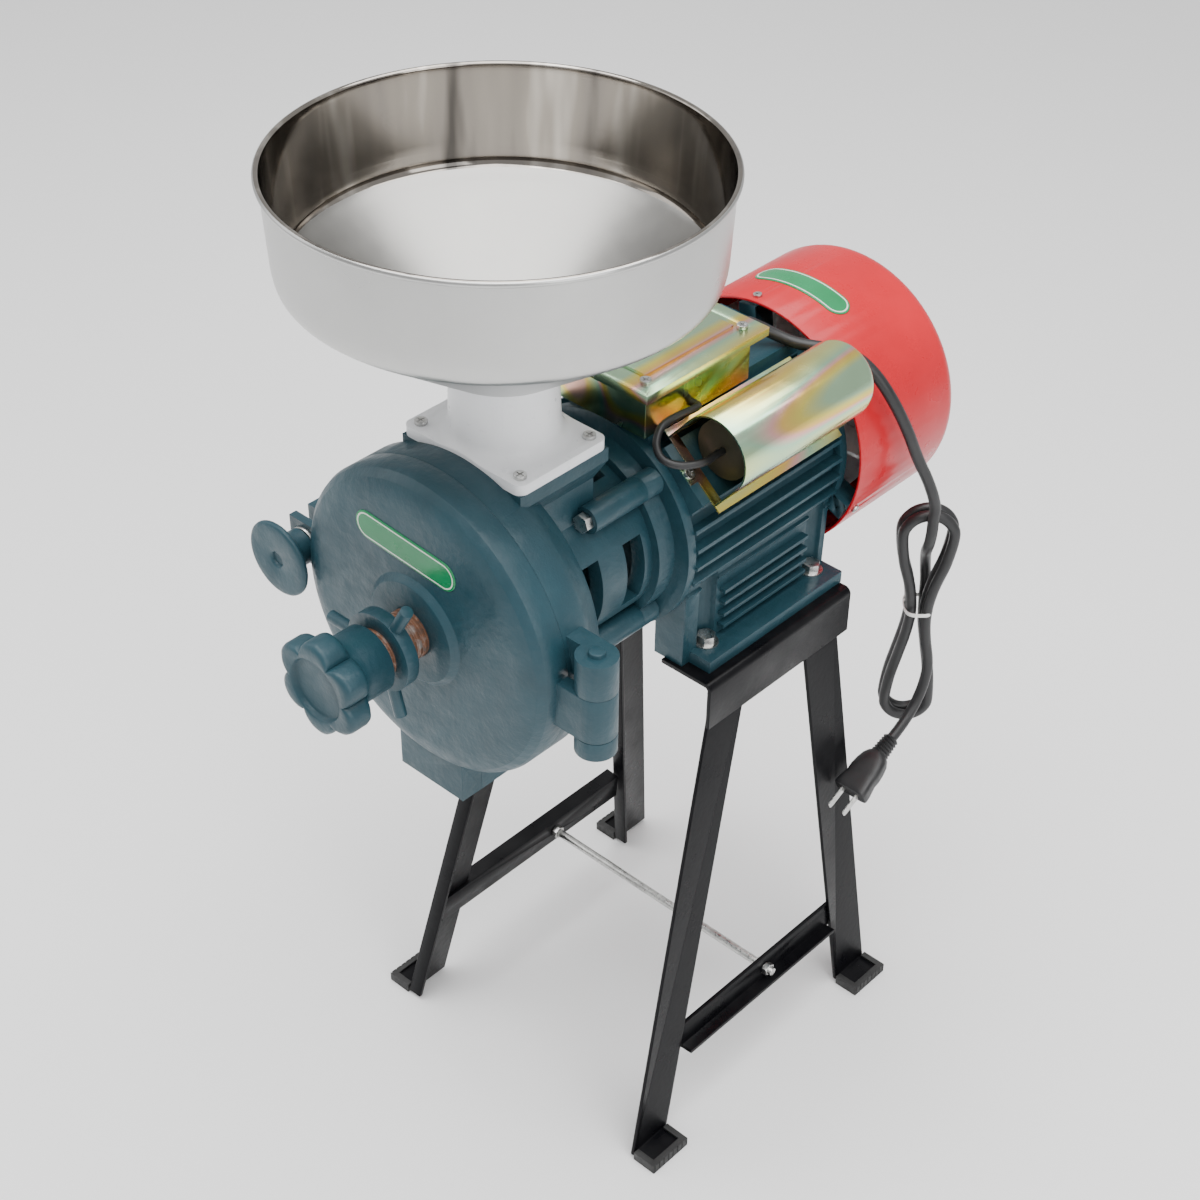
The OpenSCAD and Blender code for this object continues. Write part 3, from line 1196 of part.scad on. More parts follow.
module cord_hank() color(rubber_black) tube(hank_path, cord_d / 2, 6, [1, 0, 0]);

tie_t = 1.2;
tie_h = 3;
module tie_plan(grow) {
  half_w = waist_w + cord_d / 2 + free_gap + grow;
  half_n = layer + cord_d / 2 + free_gap + grow;
  translate([-half_w, -half_n]) square([half_w * 2, half_n * 2]);
}
module cord_tie() color(white_plastic) translate(hank_point([0, layer, waist_z - tie_h / 2]))
  rotate(hank_turn) {
  linear_extrude(tie_h) difference() {
    tie_plan(tie_t);
    tie_plan(0);
  }
  translate([waist_w, -layer - cord_d / 2 - free_gap - tie_t * 2, -cord_d * 4])
    cube([tie_h, tie_t, cord_d * 4 + tie_h]);
}

module cord_gland() color(rubber_black) translate([gland_x, box_rear, axis_z + gland_up])
  rotate([-90, 0, 0]) rotate_extrude()
  polygon([[0, -box_wall * 2], [cord_d * 0.75, -box_wall * 2], [cord_d * 0.75, 0], [cord_d * 1.05, 0],
      [cord_d * 1.05, steel_t], [cord_d * 0.85, steel_t],
    [cord_d * 0.85, steel_t * 2], [cord_d * 0.65, relief_len], [0, relief_len]]);

plug_tilt = 116;
plug_neck = 16;
module on_plug() translate(hank_path[len(hank_path) - 1]) rotate([plug_tilt, 0, 0]) children();
module plug_body() color(rubber_black) on_plug() {
  rotate_extrude() polygon([[0, 0], [cord_d * 0.65, 0], [cord_d * 0.65, steel_t],
      [cord_d * 0.85, steel_t], [cord_d * 0.85, plug_neck], [0, plug_neck]]);
  translate([0, 0, plug_neck]) linear_extrude(plug_len * 0.3)
    polygon([for (s = [1, -1], q = [[-0.36, 0.5], [0.36, 0.5], [0.5, 0]]) [s * q[0] * plug_w * 0.8,
      s * q[1] * plug_t]]);
  translate([0, 0, plug_neck + plug_len * 0.3]) linear_extrude(plug_len * 0.7) {
    square([plug_w - plug_t * 0.5, plug_t], center = true);
    square([plug_w, plug_t * 0.5], center = true);
    for (x = [-1, 1], y = [-1, 1]) translate([x * (plug_w / 2 - plug_t / 4), y * plug_t / 4])
      circle(r = plug_t / 4);
  }
}
blade_w = 6.3;
blade_t = 1.5;
blade_apart = 12.7;
module plug_blades() color(zinc) on_plug() for (x = [-1, 1])
  translate([x * blade_apart / 2 - blade_t / 2, -blade_w / 2, plug_neck + plug_len])
    cube([blade_t, blade_w, blade_len]);

right_rail();
left_rail();
front_right_leg();
rear_right_leg();
front_left_leg();
rear_left_leg();
right_brace();
left_brace();
tie_rod();
tie_rod_nuts();
front_right_foot();
rear_right_foot();
front_left_foot();
rear_left_foot();
motor_casing();
stator_core();
stator_windings();
front_end_shield();
rear_end_shield();
rotor_core();
motor_shaft();
front_bearing();
rear_bearing();
cooling_fan();
fan_cover();
fan_cover_screws();
motor_foot_bolts();
fan_cover_label();
terminal_box();
terminal_box_lid();
lid_screws();
terminal_block();
capacitor();
capacitor_cover();
capacitor_screws();
capacitor_lead();
cord_gland();
power_cord();
cord_hank();
cord_tie();
plug_body();
plug_blades();
grinder_housing();
housing_bolts();
inlet_throat();
throat_screws();
hopper();
feed_auger();
rotating_disc();
stationary_disc();
disc_carrier();
front_cover();
hinge_pin();
adjusting_screw();
adjusting_knob();
lock_ring();
clamp_knob();
clamp_washer();
cover_badge();
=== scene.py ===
"""Electric grain mill on its stand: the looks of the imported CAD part."""

import json
import math

import bmesh
import bpy
import numpy as np
from mathutils import Matrix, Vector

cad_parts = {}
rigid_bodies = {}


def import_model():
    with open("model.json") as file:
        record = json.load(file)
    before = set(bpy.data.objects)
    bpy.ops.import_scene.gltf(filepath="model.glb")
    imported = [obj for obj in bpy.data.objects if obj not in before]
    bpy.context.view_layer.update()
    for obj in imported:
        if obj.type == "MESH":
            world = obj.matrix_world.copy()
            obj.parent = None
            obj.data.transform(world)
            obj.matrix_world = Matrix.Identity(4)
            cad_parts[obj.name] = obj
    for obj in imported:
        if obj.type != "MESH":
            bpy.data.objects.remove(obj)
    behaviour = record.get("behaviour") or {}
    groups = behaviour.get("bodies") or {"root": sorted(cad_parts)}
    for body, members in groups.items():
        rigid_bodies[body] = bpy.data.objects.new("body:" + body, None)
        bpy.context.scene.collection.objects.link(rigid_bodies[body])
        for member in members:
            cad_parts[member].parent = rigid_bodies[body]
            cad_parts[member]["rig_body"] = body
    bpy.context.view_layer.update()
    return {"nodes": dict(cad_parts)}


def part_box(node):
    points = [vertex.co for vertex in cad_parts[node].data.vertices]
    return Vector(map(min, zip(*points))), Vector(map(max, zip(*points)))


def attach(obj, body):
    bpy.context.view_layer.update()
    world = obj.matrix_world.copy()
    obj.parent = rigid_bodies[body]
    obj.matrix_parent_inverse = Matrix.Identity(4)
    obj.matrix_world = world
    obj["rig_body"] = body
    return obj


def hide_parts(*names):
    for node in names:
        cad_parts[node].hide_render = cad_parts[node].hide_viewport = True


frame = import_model()

# ---------------------------------------------------------------------------
# The camera stands in front of the mill, to its right and above it, and turns
# slightly. The mill sits below and left of the middle of the picture.
camera_place = (0.77466, -0.89643, 1.27586)
camera_right = (0.74266, 0.66927, 0.02295)
camera_up = (-0.44195, 0.46409, 0.76766)
camera_back = (0.50312, -0.58026, 0.64044)
camera = bpy.data.objects.new("camera", bpy.data.cameras.new("camera"))
camera.matrix_world = Matrix([
    [camera_right[i], camera_up[i], camera_back[i], camera_place[i]] for i in range(3)
] + [[0, 0, 0, 1]])
camera.data.sensor_width = 36
camera.data.lens = 65.2
camera.data.shift_x = -0.0369
camera.data.shift_y = 0.0807
bpy.context.scene.collection.objects.link(camera)
bpy.context.scene.camera = camera


# ---------------------------------------------------------------------------
# The mains cord is round black PVC, 8 mm thick. It comes out of the strain
# relief at the rear of the terminal box, runs low behind the capacitor cover
# and hangs down to a hank of two and a half turns.
class Value:
    """A socket of a node tree. Sums, differences and products of it add Math nodes."""

    def __init__(self, tree, socket):
        self.tree, self.socket = tree, socket

    def math(self, operation, *terms):
        """A Math node on the terms, which are Values or numbers."""
        node = self.tree.nodes.new("ShaderNodeMath")
        node.operation = operation
        for place, term in zip(node.inputs, terms):
            feed(self.tree, place, term)
        return Value(self.tree, node.outputs[0])

    def __add__(self, other):
        return self.math("ADD", self, other)

    def __sub__(self, other):
        return self.math("SUBTRACT", self, other)

    def __rsub__(self, other):
        return self.math("SUBTRACT", other, self)

    def __mul__(self, other):
        return self.math("MULTIPLY", self, other)

    __radd__ = __add__
    __rmul__ = __mul__

    def above(self, other):
        """1 where the Value is over the other, else 0."""
        return self.math("GREATER_THAN", self, other)


def feed(tree, socket, term):
    """Links a Value to a socket, or writes a number, colour or vector in it."""
    if isinstance(term, Value):
        tree.links.new(term.socket, socket)
    else:
        if hasattr(socket.default_value, "__len__") and not hasattr(term, "__len__"):
            term = [term] * len(socket.default_value)
        if socket.type == "RGBA" and len(term) == 3:
            term = (*term, 1)
        socket.default_value = term


class Finish:
    """A material: its tree, its Principled shader and one method for any other node."""

    def __init__(self, name, **plain):
        self.material = bpy.data.materials.new(name)
        self.material.use_nodes = True
        self.tree = self.material.node_tree
        self.shader = self.tree.nodes["Principled BSDF"]
        self.surface(**plain)

    def surface(self, **inputs):
        """Feeds inputs of the Principled shader, named like base_color."""
        for name, term in inputs.items():
            socket_name = name.replace("_", " ").title().replace("Ior", "IOR")
            feed(self.tree, self.shader.inputs[socket_name], term)

    def node(self, kind, settings=None, output=0, **inputs):
        """Any other node: its settings, and its inputs by name or, like i3, by number."""
        node = self.tree.nodes.new(kind)
        for name, setting in (settings or {}).items():
            if name == "stops":
                ramp = node.color_ramp
                while len(ramp.elements) < len(setting):
                    ramp.elements.new(0.5)
                for element, (place, colour) in zip(ramp.elements, setting):
                    element.position, element.color = place, (*colour, 1)
            else:
                setattr(node, name, setting)
        for name, term in inputs.items():
            key = int(name[1:]) if name[0] == "i" and name[1:].isdigit() else name.replace("_", " ").title()
            feed(self.tree, node.inputs[key], term)
        return Value(self.tree, node.outputs[output])

    def place(self, scale=(1, 1, 1), turn=(0, 0, 0), uv=False):
        """Object coordinates, or the piece's own UV map, scaled and turned."""
        source = self.node("ShaderNodeTexCoord", output=2 if uv else 3)
        return self.node("ShaderNodeMapping", vector=source, scale=scale, rotation=turn)

    def noise(self, scale, detail=4, rough=0.55, where=None):
        """Noise of 0 to 1, with scale lumps to a metre."""
        return self.node("ShaderNodeTexNoise", vector=where or self.place(), scale=scale,
                         detail=detail, roughness=rough)

    def ramp(self, value, *stops):
        """Colour that goes through the stops, each (value, colour)."""
        return self.node("ShaderNodeValToRGB", {"stops": stops}, fac=value)

    def between(self, value, first, second):
        """Colour mix: first where value is 0, second where it is 1."""
        return self.node("ShaderNodeMix", {"data_type": "RGBA"}, 2, i0=value, i6=first, i7=second)

    def bump(self, height, depth, under=None):
        """A Bump node of that depth in metres on a height of 0 to 1."""
        inputs = {"height": height, "distance": depth, "strength": 1.0}
        if under is not None:
            inputs["normal"] = under
        return self.node("ShaderNodeBump", **inputs)


def ramp_grey(finish, value, low, high):
    """A number that goes from low to high as value goes from 0.3 to 0.7."""
    return finish.node("ShaderNodeMapRange", {"clamp": True}, value=value, i1=0.3, i2=0.7, i3=low, i4=high)


def curve_through(points, parts):
    """Catmull-Rom curve: between p and q, with o before and r after them, half of
    2p + (q - o)t + (2o - 5p + 4q - r)t2 + (3p - o - 3q + r)t3."""
    line = np.asarray(points, float)
    start = np.arange(len(line) - 1)
    o, p, q, r = (line[np.clip(start + k, 0, len(line) - 1)][:, None, :] for k in (-1, 0, 1, 2))
    t = (np.arange(parts) / parts)[None, :, None]
    bent = 0.5 * (2 * p + (q - o) * t + (2 * o - 5 * p + 4 * q - r) * t**2 + (3 * p - o - 3 * q + r) * t**3)
    return np.vstack([bent.reshape(-1, line.shape[1]), line[-1]])


def swept(path, section, spoke=(0, 0, 1)):
    """Grid of a section carried along a path. Each ring lies across the path, and its first
    spoke is the spoke before it with its part along the path taken off. section(k) gives
    the ring's (spoke, side) offsets at each point k of the path, or is a radius."""
    path = np.asarray(path, float)
    along = np.gradient(path, axis=0)
    along /= np.linalg.norm(along, axis=1)[:, None]
    spokes = []
    for way in along:
        spoke = np.asarray(spoke, float) - np.dot(spoke, way) * way
        spoke /= np.linalg.norm(spoke)
        spokes.append(spoke)
    spokes = np.array(spokes)
    sides = np.cross(along, spokes)
    if np.ndim(section) < 2:
        a = np.linspace(0, 2 * np.pi, 20, endpoint=False)
        radius = np.broadcast_to(section, len(path))[:, None]
        section = np.stack([radius * np.cos(a), radius * np.sin(a)], -1)
    section = np.broadcast_to(section, (len(path),) + np.shape(section)[-2:])
    return path[:, None] + section[..., :1] * spokes[:, None] + section[..., 1:] * sides[:, None]


def spun(profile, steps=128):
    """Grid of a profile turned round z: (r, z) goes to (r cos a, r sin a, z)."""
    profile = np.asarray(profile, float)
    a = np.linspace(0, 2 * np.pi, steps, endpoint=False)
    r, z = profile[:, :1], profile[:, 1:]
    return np.stack([r * np.cos(a), r * np.sin(a), z + 0 * a], -1)


def carried(grid, place=(0, 0, 0), x=(1, 0, 0), y=(0, 1, 0), z=(0, 0, 1)):
    """Points of a grid laid along the three given directions from a place."""
    return np.asarray(place, float) + grid @ np.array([x, y, z], float)


def skin(name, *grids, ring=True):
    """Mesh over one or more grids, in millimetres. Rows follow each other, each row closes on
    itself where ring is set, open ends get a face, and faces are turned outwards."""
    points, faces, uvs, start = [], [], [], 0
    for grid in grids:
        rows, cols = grid.shape[:2]
        index = start + np.arange(rows * cols).reshape(rows, cols)
        beside = np.roll(index, -1, 1) if ring else index[:, 1:]
        here = index if ring else index[:, :-1]
        faces.append(np.stack([here[:-1], beside[:-1], beside[1:], here[1:]], -1).reshape(-1, 4))
        points.append(grid.reshape(-1, 3))
        steps = np.linalg.norm(np.diff(grid, axis=0), axis=2).mean(1)
        v = np.concatenate([[0], np.cumsum(steps)])
        u = np.arange(cols) / cols
        uvs.append(np.stack(np.broadcast_arrays(u[None, :], v[:, None]), -1).reshape(-1, 2))
        start += rows * cols
    mesh = bpy.data.meshes.new(name)
    mesh.from_pydata(np.vstack(points) / 1000, [], np.vstack(faces).tolist())
    layer = mesh.uv_layers.new(name="UVMap")
    corner = np.zeros(len(mesh.loops), int)
    mesh.loops.foreach_get("vertex_index", corner)
    layer.data.foreach_set("uv", np.vstack(uvs)[corner].ravel().astype(np.float32))
    b = bmesh.new()
    b.from_mesh(mesh)
    bmesh.ops.remove_doubles(b, verts=b.verts, dist=2e-6)
    bmesh.ops.dissolve_degenerate(b, edges=b.edges, dist=2e-6)
    bmesh.ops.holes_fill(b, edges=[e for e in b.edges if e.is_boundary], sides=0)
    bmesh.ops.recalc_face_normals(b, faces=b.faces)
    b.to_mesh(mesh)
    b.free()
    return bpy.data.objects.new(name, mesh)


def dress(obj, finish, body, slot, *nodes, sharp=40, soften=0, cuts=2):
    """Puts a piece in the scene: its finish, smooth shading up to the sharp angle, a rounding
    of its edges in millimetres, the body it rides on and the CAD nodes it stands for."""
    bpy.context.scene.collection.objects.link(obj)
    obj.data.materials.clear()
    obj.data.materials.append(finish.material)
    obj.data.polygons.foreach_set("use_smooth", np.ones(len(obj.data.polygons), bool))
    if soften:
        rounding = obj.modifiers.new("rounded edges", "BEVEL")
        rounding.width = soften / 1000
        rounding.segments = cuts
        rounding.limit_method = "ANGLE"
        rounding.angle_limit = math.radians(sharp)
        rounding.harden_normals = True
    else:
        obj.data.set_sharp_from_angle(angle=math.radians(sharp))
    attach(obj, body)
    if nodes:
        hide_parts(*nodes)
    return obj


black_rubber = Finish("black pvc", base_color=(0.012, 0.012, 0.013), roughness=0.42,
                      specular_ior_level=0.45)
grain = black_rubber.noise(900, 3)
black_rubber.surface(
    base_color=black_rubber.between(black_rubber.noise(60), (0.008, 0.008, 0.009), (0.02, 0.02, 0.021)),
    roughness=ramp_grey(black_rubber, black_rubber.noise(120), 0.34, 0.5),
    normal=black_rubber.bump(grain, 0.00006),
)

cord_width = 8
cord_exit = np.array([14, 65, 566])
hank_place = np.array([98, 181, 0])
hank_turn = math.radians(42)
hank_low, hank_waist, hank_top = 242, 329, 396
low_half, waist_half, top_half = 16, 5.4, 18
layer_step = 9.5
run_up = np.array([hank_top, 374, 351, hank_waist, 308, 286, 264, hank_low], float)
low_bend = np.radians(np.arange(30, 151, 30))
top_bend = low_bend[::-1]


def on_hank(across, front, up):
    """A point of the hank: across it, towards its front, and up, turned about its middle."""
    across, front, up = np.broadcast_arrays(across, front, up)
    return hank_place + np.stack([
        across * math.cos(hank_turn) + front * math.sin(hank_turn),
        across * math.sin(hank_turn) - front * math.cos(hank_turn), up], -1)


def run_width(up):
    """Half distance of the hank's runs: a cosine from the waist, where the tie is, to each end."""
    over = (1 - np.cos(np.pi * (up - hank_waist) / (hank_top - hank_waist))) / 2
    under = (1 - np.cos(np.pi * (hank_waist - up) / (hank_waist - hank_low))) / 2
    return waist_half + np.where(up > hank_waist, (top_half - waist_half) * over, (low_half - waist_half) * under)


def down(layer, first, last):
    """The part of a run that goes down, on the hank's one side."""
    return on_hank(run_width(run_up[first:last]), layer, run_up[first:last])


def back_up(layer):
    """The run that goes up on the other side, over to the next layer."""
    return on_hank(-run_width(run_up[::-1]), layer + layer_step * np.arange(8) / 7, run_up[::-1])


def low_turn(layer):
    """Half circle under the runs."""
    return on_hank(low_half * np.cos(low_bend), layer, hank_low - low_half * np.sin(low_bend))


def top_turn(layer):
    """Half circle over the runs."""
    return on_hank(top_half * np.cos(top_bend), layer, hank_top + top_half * np.sin(top_bend))


cord_points = np.vstack([
    [cord_exit, cord_exit + [0, 4, 0], cord_exit + [0, 8, 0]],
    [[26, 84, 558], [38, 92, 553], [50, 101, 551], [62, 109, 550], [75, 115, 545], [87, 120, 534]],
    [[97, 126, 517], [104, 134, 496], [109, 143, 472], [113, 151, 454], [116, 156, 440]],
    on_hank([0, 0, 0, 0, 0, 0.5, 1.5, 3, 4.8], [28.5, 28.5, 28.5, 28, 24, 16, 7, 1.2, 0],
            [428, 420, 412, 404, 394, 384, 374, 361, 345]),
    down(0, 3, 8), low_turn(0), back_up(0), top_turn(layer_step),
    down(layer_step, 0, 8), low_turn(layer_step), back_up(layer_step), top_turn(2 * layer_step),
    down(2 * layer_step, 0, 5),
    [[119, 174, 284], [120, 171, 268], [120, 164, 254], [120, 155, 245], [120, 146, 239], [120, 137, 234.6]],
])
cord_line = curve_through(cord_points, 4)
mains_cord = dress(skin("mains_cord", swept(cord_line, cord_width / 2)), black_rubber, "stand", "rubber",
                   "power_cord", "cord_hank")

# ---------------------------------------------------------------------------
# The plug is moulded on the cord in the same black PVC: a ribbed neck, a flat
# body that widens to its face, and two flat plated blades.
plug_place = cord_line[-1]
plug_tilt = math.radians(116)
plug_y = (0, math.cos(plug_tilt), math.sin(plug_tilt))
plug_z = (0, -math.sin(plug_tilt), math.cos(plug_tilt))


def rounded_section(half_x, half_y, power=4, steps=48):
    """Squarish ring: x = a sign(cos t)|cos t|^(2/n), and y likewise with sin."""
    t = np.linspace(0, 2 * np.pi, steps, endpoint=False)
    way = np.stack([np.cos(t), np.sin(t)], -1)
    return np.sign(way) * np.abs(way) ** (2 / power) * [half_x, half_y]


def stacked(levels):
    """Grid of squarish rings over each other: each level is (z, half x, half y, power)."""
    rings = [np.c_[rounded_section(x, y, power), np.full(48, float(z))] for z, x, y, power in levels]
    return np.array(rings)


rib_step, rib_out, neck_slope = 1.3, 1.1, 0.07
plug_levels = [(0.0, 4.1, 4.1, 2)]
for k, z in enumerate(np.arange(0, 15, rib_step)):
    neck_r = 5 + rib_out * (k % 2) + z * neck_slope
    plug_levels.append((z, neck_r, neck_r, 2))
plug_levels += [(15.6, 6.6, 6.5, 2), (17, 8.4, 6.9, 2.4), (21, 10.4, 7.3, 3), (27, 11.6, 7.5, 3.6),
                (33, 12.2, 7.1, 4), (38, 12.0, 6.6, 4), (42, 12.6, 6.9, 4.5), (47, 13.3, 7.4, 5),
                (50.5, 13.5, 7.5, 5), (51.6, 13.1, 7.1, 5), (52, 12.4, 6.4, 5)]
plug_body = dress(skin("moulded_plug", carried(stacked(plug_levels), plug_place, (1, 0, 0), plug_y, plug_z)),
                  black_rubber, "stand", "rubber", "plug_body")

bright_zinc = Finish("bright zinc", base_color=(0.6, 0.6, 0.59), metallic=1, roughness=0.3)
blotch = bright_zinc.noise(170)
bright_zinc.surface(
    base_color=bright_zinc.ramp(blotch, (0.3, (0.42, 0.42, 0.41)), (0.7, (0.66, 0.66, 0.64))),
    roughness=ramp_grey(bright_zinc, bright_zinc.noise(420), 0.22, 0.42),
    normal=bright_zinc.bump(bright_zinc.noise(1500, 2), 0.00003),
)
blade_levels = [(50, 0.75, 3.1, 8), (66, 0.75, 3.1, 8), (68.2, 0.6, 2.8, 8), (69, 0.3, 2.2, 6)]
blade_side = 6.35
plug_blades = dress(skin("brass_plug_blades", *[
    carried(stacked(blade_levels) + [side * blade_side, 0, 0], plug_place, (1, 0, 0), plug_y, plug_z)
    for side in (-1, 1)
]), bright_zinc, "stand", "zinc", "plug_blades")

# ---------------------------------------------------------------------------
# The tie is a white paper-covered wire, wrapped round the waist of the hank
# and twisted, with one end hanging down.
white_tie = Finish("white tie", base_color=(0.8, 0.8, 0.78), roughness=0.6)
white_tie.surface(
    base_color=white_tie.between(white_tie.noise(300), (0.72, 0.72, 0.7), (0.86, 0.86, 0.84)),
    normal=white_tie.bump(white_tie.noise(1200, 2), 0.0001),
)
t = np.linspace(0, 2 * np.pi, 60, endpoint=False)
wrap_across, wrap_front = rounded_section(10.2, 14.3, 2 / 0.62, 60).T
wrap_up = hank_waist + 1.2 * np.sin(t)
wrap = on_hank(wrap_across, layer_step + wrap_front, wrap_up)
outward = on_hank(wrap_across * 1.08, layer_step + wrap_front * 1.06, wrap_up) - wrap
outward /= np.linalg.norm(outward, axis=1)[:, None]
flat = rounded_section(0.45, 1.5, 3, 16)
band = wrap[:, None] + flat[None, :, :1] * outward[:, None] + flat[None, :, 1:] * np.array([0, 0, 1.0])
band = np.concatenate([band, band[:1]])
tail_points = on_hank([5.2, 6.4, 7.6, 7.2, 6.6], [-5.6, -6.4, -6.2, -6.5, -6.2], [331, 324, 314, 304, 297])
tail = swept(curve_through(tail_points, 5), rounded_section(0.6, 1.2, 3, 16), (0, 1, 0))
cord_tie = dress(skin("paper_wire_tie", band, tail), white_tie, "stand", "white_plastic", "cord_tie")

# ---------------------------------------------------------------------------
# The strain relief is a black ribbed sleeve in the rear wall of the terminal
# box. It gets thinner towards the cord.
sleeve_long, groove = 24, 0.7
sleeve = [(0, -4), (6, -4), (6, 0), (8.4, 0), (8.4, 2.4), (7.9, 3), (6.9, 3.2), (6.8, 5.4)]
for k in range(6):
    at, r = 5.6 + k * 3, 6.7 - 0.3 * k
    sleeve += [(r - groove, at), (r - groove, at + 0.8), (r, at + 1.1), (r, at + 2.6)]
sleeve += [(4.9, sleeve_long - 0.6), (4.2, sleeve_long), (0, sleeve_long)]
sleeve_skin = skin("strain_relief", carried(spun(sleeve, 48), cord_exit - [0, sleeve_long, 0],
                                            (1, 0, 0), (0, 0, 1), (0, 1, 0)))
dress(sleeve_skin, black_rubber, "stand", "rubber", "cord_gland")

# ---------------------------------------------------------------------------
# The capacitor's lead is a black sleeved wire. It comes out of the side of
# the terminal box, bows forward and goes into the capacitor cover's front.
lead_points = [(38.5, -14, 557), (46, -14, 557), (49, -22, 559), (49, -40, 561), (50, -53, 560), (54, -61, 553),
               (61, -62, 546.5), (69.5, -55, 543), (75.8, -42, 542.1), (75.8, -32, 542.1), (75.8, -24, 542.1)]
lead_r = 2.5
dress(skin("capacitor_wire", swept(curve_through(lead_points, 6), lead_r)), black_rubber,
      "stand", "rubber", "capacitor_lead")

# ---------------------------------------------------------------------------
# The stand is two frames of folded sheet steel, painted black: a rail with
# two splayed legs, a brace between the legs, and a rod that joins the frames.
same_point, same_plane = 2e-6, math.radians(0.3)


def rounded_copy(node, finish, slot, soften, sharp=30, cuts=2):
    """The node's own shape, merged into whole faces, with every edge over the sharp angle
    rounded by a strip of soften millimetres."""
    source = frame["nodes"][node]
    b = bmesh.new()
    b.from_mesh(source.data)
    bmesh.ops.remove_doubles(b, verts=b.verts, dist=same_point)
    bmesh.ops.dissolve_limit(b, angle_limit=same_plane, verts=b.verts, edges=b.edges)
    mesh = bpy.data.meshes.new(node + "_rounded")
    b.to_mesh(mesh)
    b.free()
    return dress(bpy.data.objects.new(node + "_rounded", mesh), finish, source["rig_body"], slot, node,
                 sharp=sharp, soften=soften, cuts=cuts)


black_paint = Finish("black stand paint", base_color=(0.004, 0.004, 0.005), roughness=0.4,
                     specular_ior_level=0.12)
peel = black_paint.noise(260, 2)
dust = black_paint.noise(38, 5)
black_paint.surface(
    base_color=black_paint.ramp(dust, (0.35, (0.003, 0.003, 0.004)), (0.75, (0.008, 0.008, 0.009))),
    roughness=ramp_grey(black_paint, dust, 0.24, 0.42),
    normal=black_paint.bump(peel, 0.00012),
)
for node in ("right_rail", "left_rail", "right_brace", "left_brace",
             "front_right_leg", "rear_right_leg", "front_left_leg", "rear_left_leg"):
    rounded_copy(node, black_paint, "black_paint", 0.7)

foot_rubber = Finish("foot rubber", base_color=(0.015, 0.015, 0.015), roughness=0.6)
foot_rubber.surface(
    base_color=foot_rubber.between(foot_rubber.noise(80), (0.01, 0.01, 0.01), (0.03, 0.03, 0.03)),
    roughness=ramp_grey(foot_rubber, foot_rubber.noise(200), 0.5, 0.75),
    normal=foot_rubber.bump(foot_rubber.noise(1100, 2), 0.0001),
)
for node in ("front_right_foot", "rear_right_foot", "front_left_foot", "rear_left_foot"):
    rounded_copy(node, foot_rubber, "rubber", 0.5)
rounded_copy("tie_rod", bright_zinc, "zinc", 0.4)
rounded_copy("tie_rod_nuts", bright_zinc, "zinc", 0.4)

# ---------------------------------------------------------------------------
# The motor's casing and end shields are castings under thick, slightly rough
# blue-green paint. Fins run along the casing, the lower ones between its bolts.
teal_paint = Finish("blue-green paint", base_color=(0.014, 0.048, 0.064), roughness=0.42,
                    specular_ior_level=0.35)
cast_skin = teal_paint.noise(150, 5, 0.6)
lumps = teal_paint.noise(34, 3)
patches = teal_paint.noise(22, 5, 0.6)
teal_paint.surface(
    base_color=teal_paint.ramp(patches, (0.3, (0.0115, 0.041, 0.055)), (0.7, (0.0175, 0.057, 0.075))),
    roughness=ramp_grey(teal_paint, teal_paint.noise(90, 4), 0.3, 0.48),
    normal=teal_paint.bump(cast_skin, 0.0005, teal_paint.bump(lumps, 0.0008)),
)
for node in ("front_end_shield", "rear_end_shield"):
    rounded_copy(node, teal_paint, "teal_paint", 0.8)
casing = rounded_copy("motor_casing", teal_paint, "teal_paint", 0.8)
low_fin_size = Matrix.Diagonal((14, 86, 2.6, 1))
ribbed = bmesh.new()
ribbed.from_mesh(casing.data)
for side in (-1, 1):
    for up in (397, 406.5, 416, 425.5):
        low_fin_place = Matrix.Translation((side * 0.067, 0.032, up / 1000))
        bmesh.ops.create_cube(ribbed, size=0.001, matrix=low_fin_place @ low_fin_size)
for face in ribbed.faces:
    face.smooth = True
ribbed.to_mesh(casing.data)
ribbed.free()
rounded_copy("motor_foot_bolts", bright_zinc, "zinc", 0.5)

# ---------------------------------------------------------------------------
# Inside the casing are the laminated stator with its copper windings, the
# rotor on the shaft, and two ball bearings. The fan sits behind them.
bare_iron = Finish("bare iron", base_color=(0.25, 0.25, 0.25), metallic=1, roughness=0.5)
bare_iron.surface(
    base_color=bare_iron.ramp(bare_iron.noise(60), (0.3, (0.16, 0.16, 0.16)), (0.7, (0.3, 0.3, 0.3))),
    roughness=ramp_grey(bare_iron, bare_iron.noise(160), 0.42, 0.62),
    normal=bare_iron.bump(bare_iron.noise(500), 0.0001),
)
copper = Finish("varnished copper", base_color=(0.55, 0.22, 0.08), metallic=1, roughness=0.35)
copper.surface(
    base_color=copper.ramp(copper.noise(220), (0.3, (0.38, 0.13, 0.04)), (0.7, (0.6, 0.27, 0.1))),
    normal=copper.bump(copper.noise(700, 3), 0.0003),
)
white_plastic = Finish("white plastic", base_color=(0.84, 0.85, 0.86), roughness=0.32,
                       specular_ior_level=0.5)
white_plastic.surface(
    base_color=white_plastic.between(white_plastic.noise(45), (0.79, 0.8, 0.82), (0.86, 0.87, 0.88)),
    roughness=ramp_grey(white_plastic, white_plastic.noise(130), 0.25, 0.42),
    normal=white_plastic.bump(white_plastic.noise(420, 3), 0.00012),
)


def finished(node, finish):
    """The node keeps its own mesh and gets a finish."""
    obj = frame["nodes"][node]
    obj.data.materials.clear()
    obj.data.materials.append(finish.material)


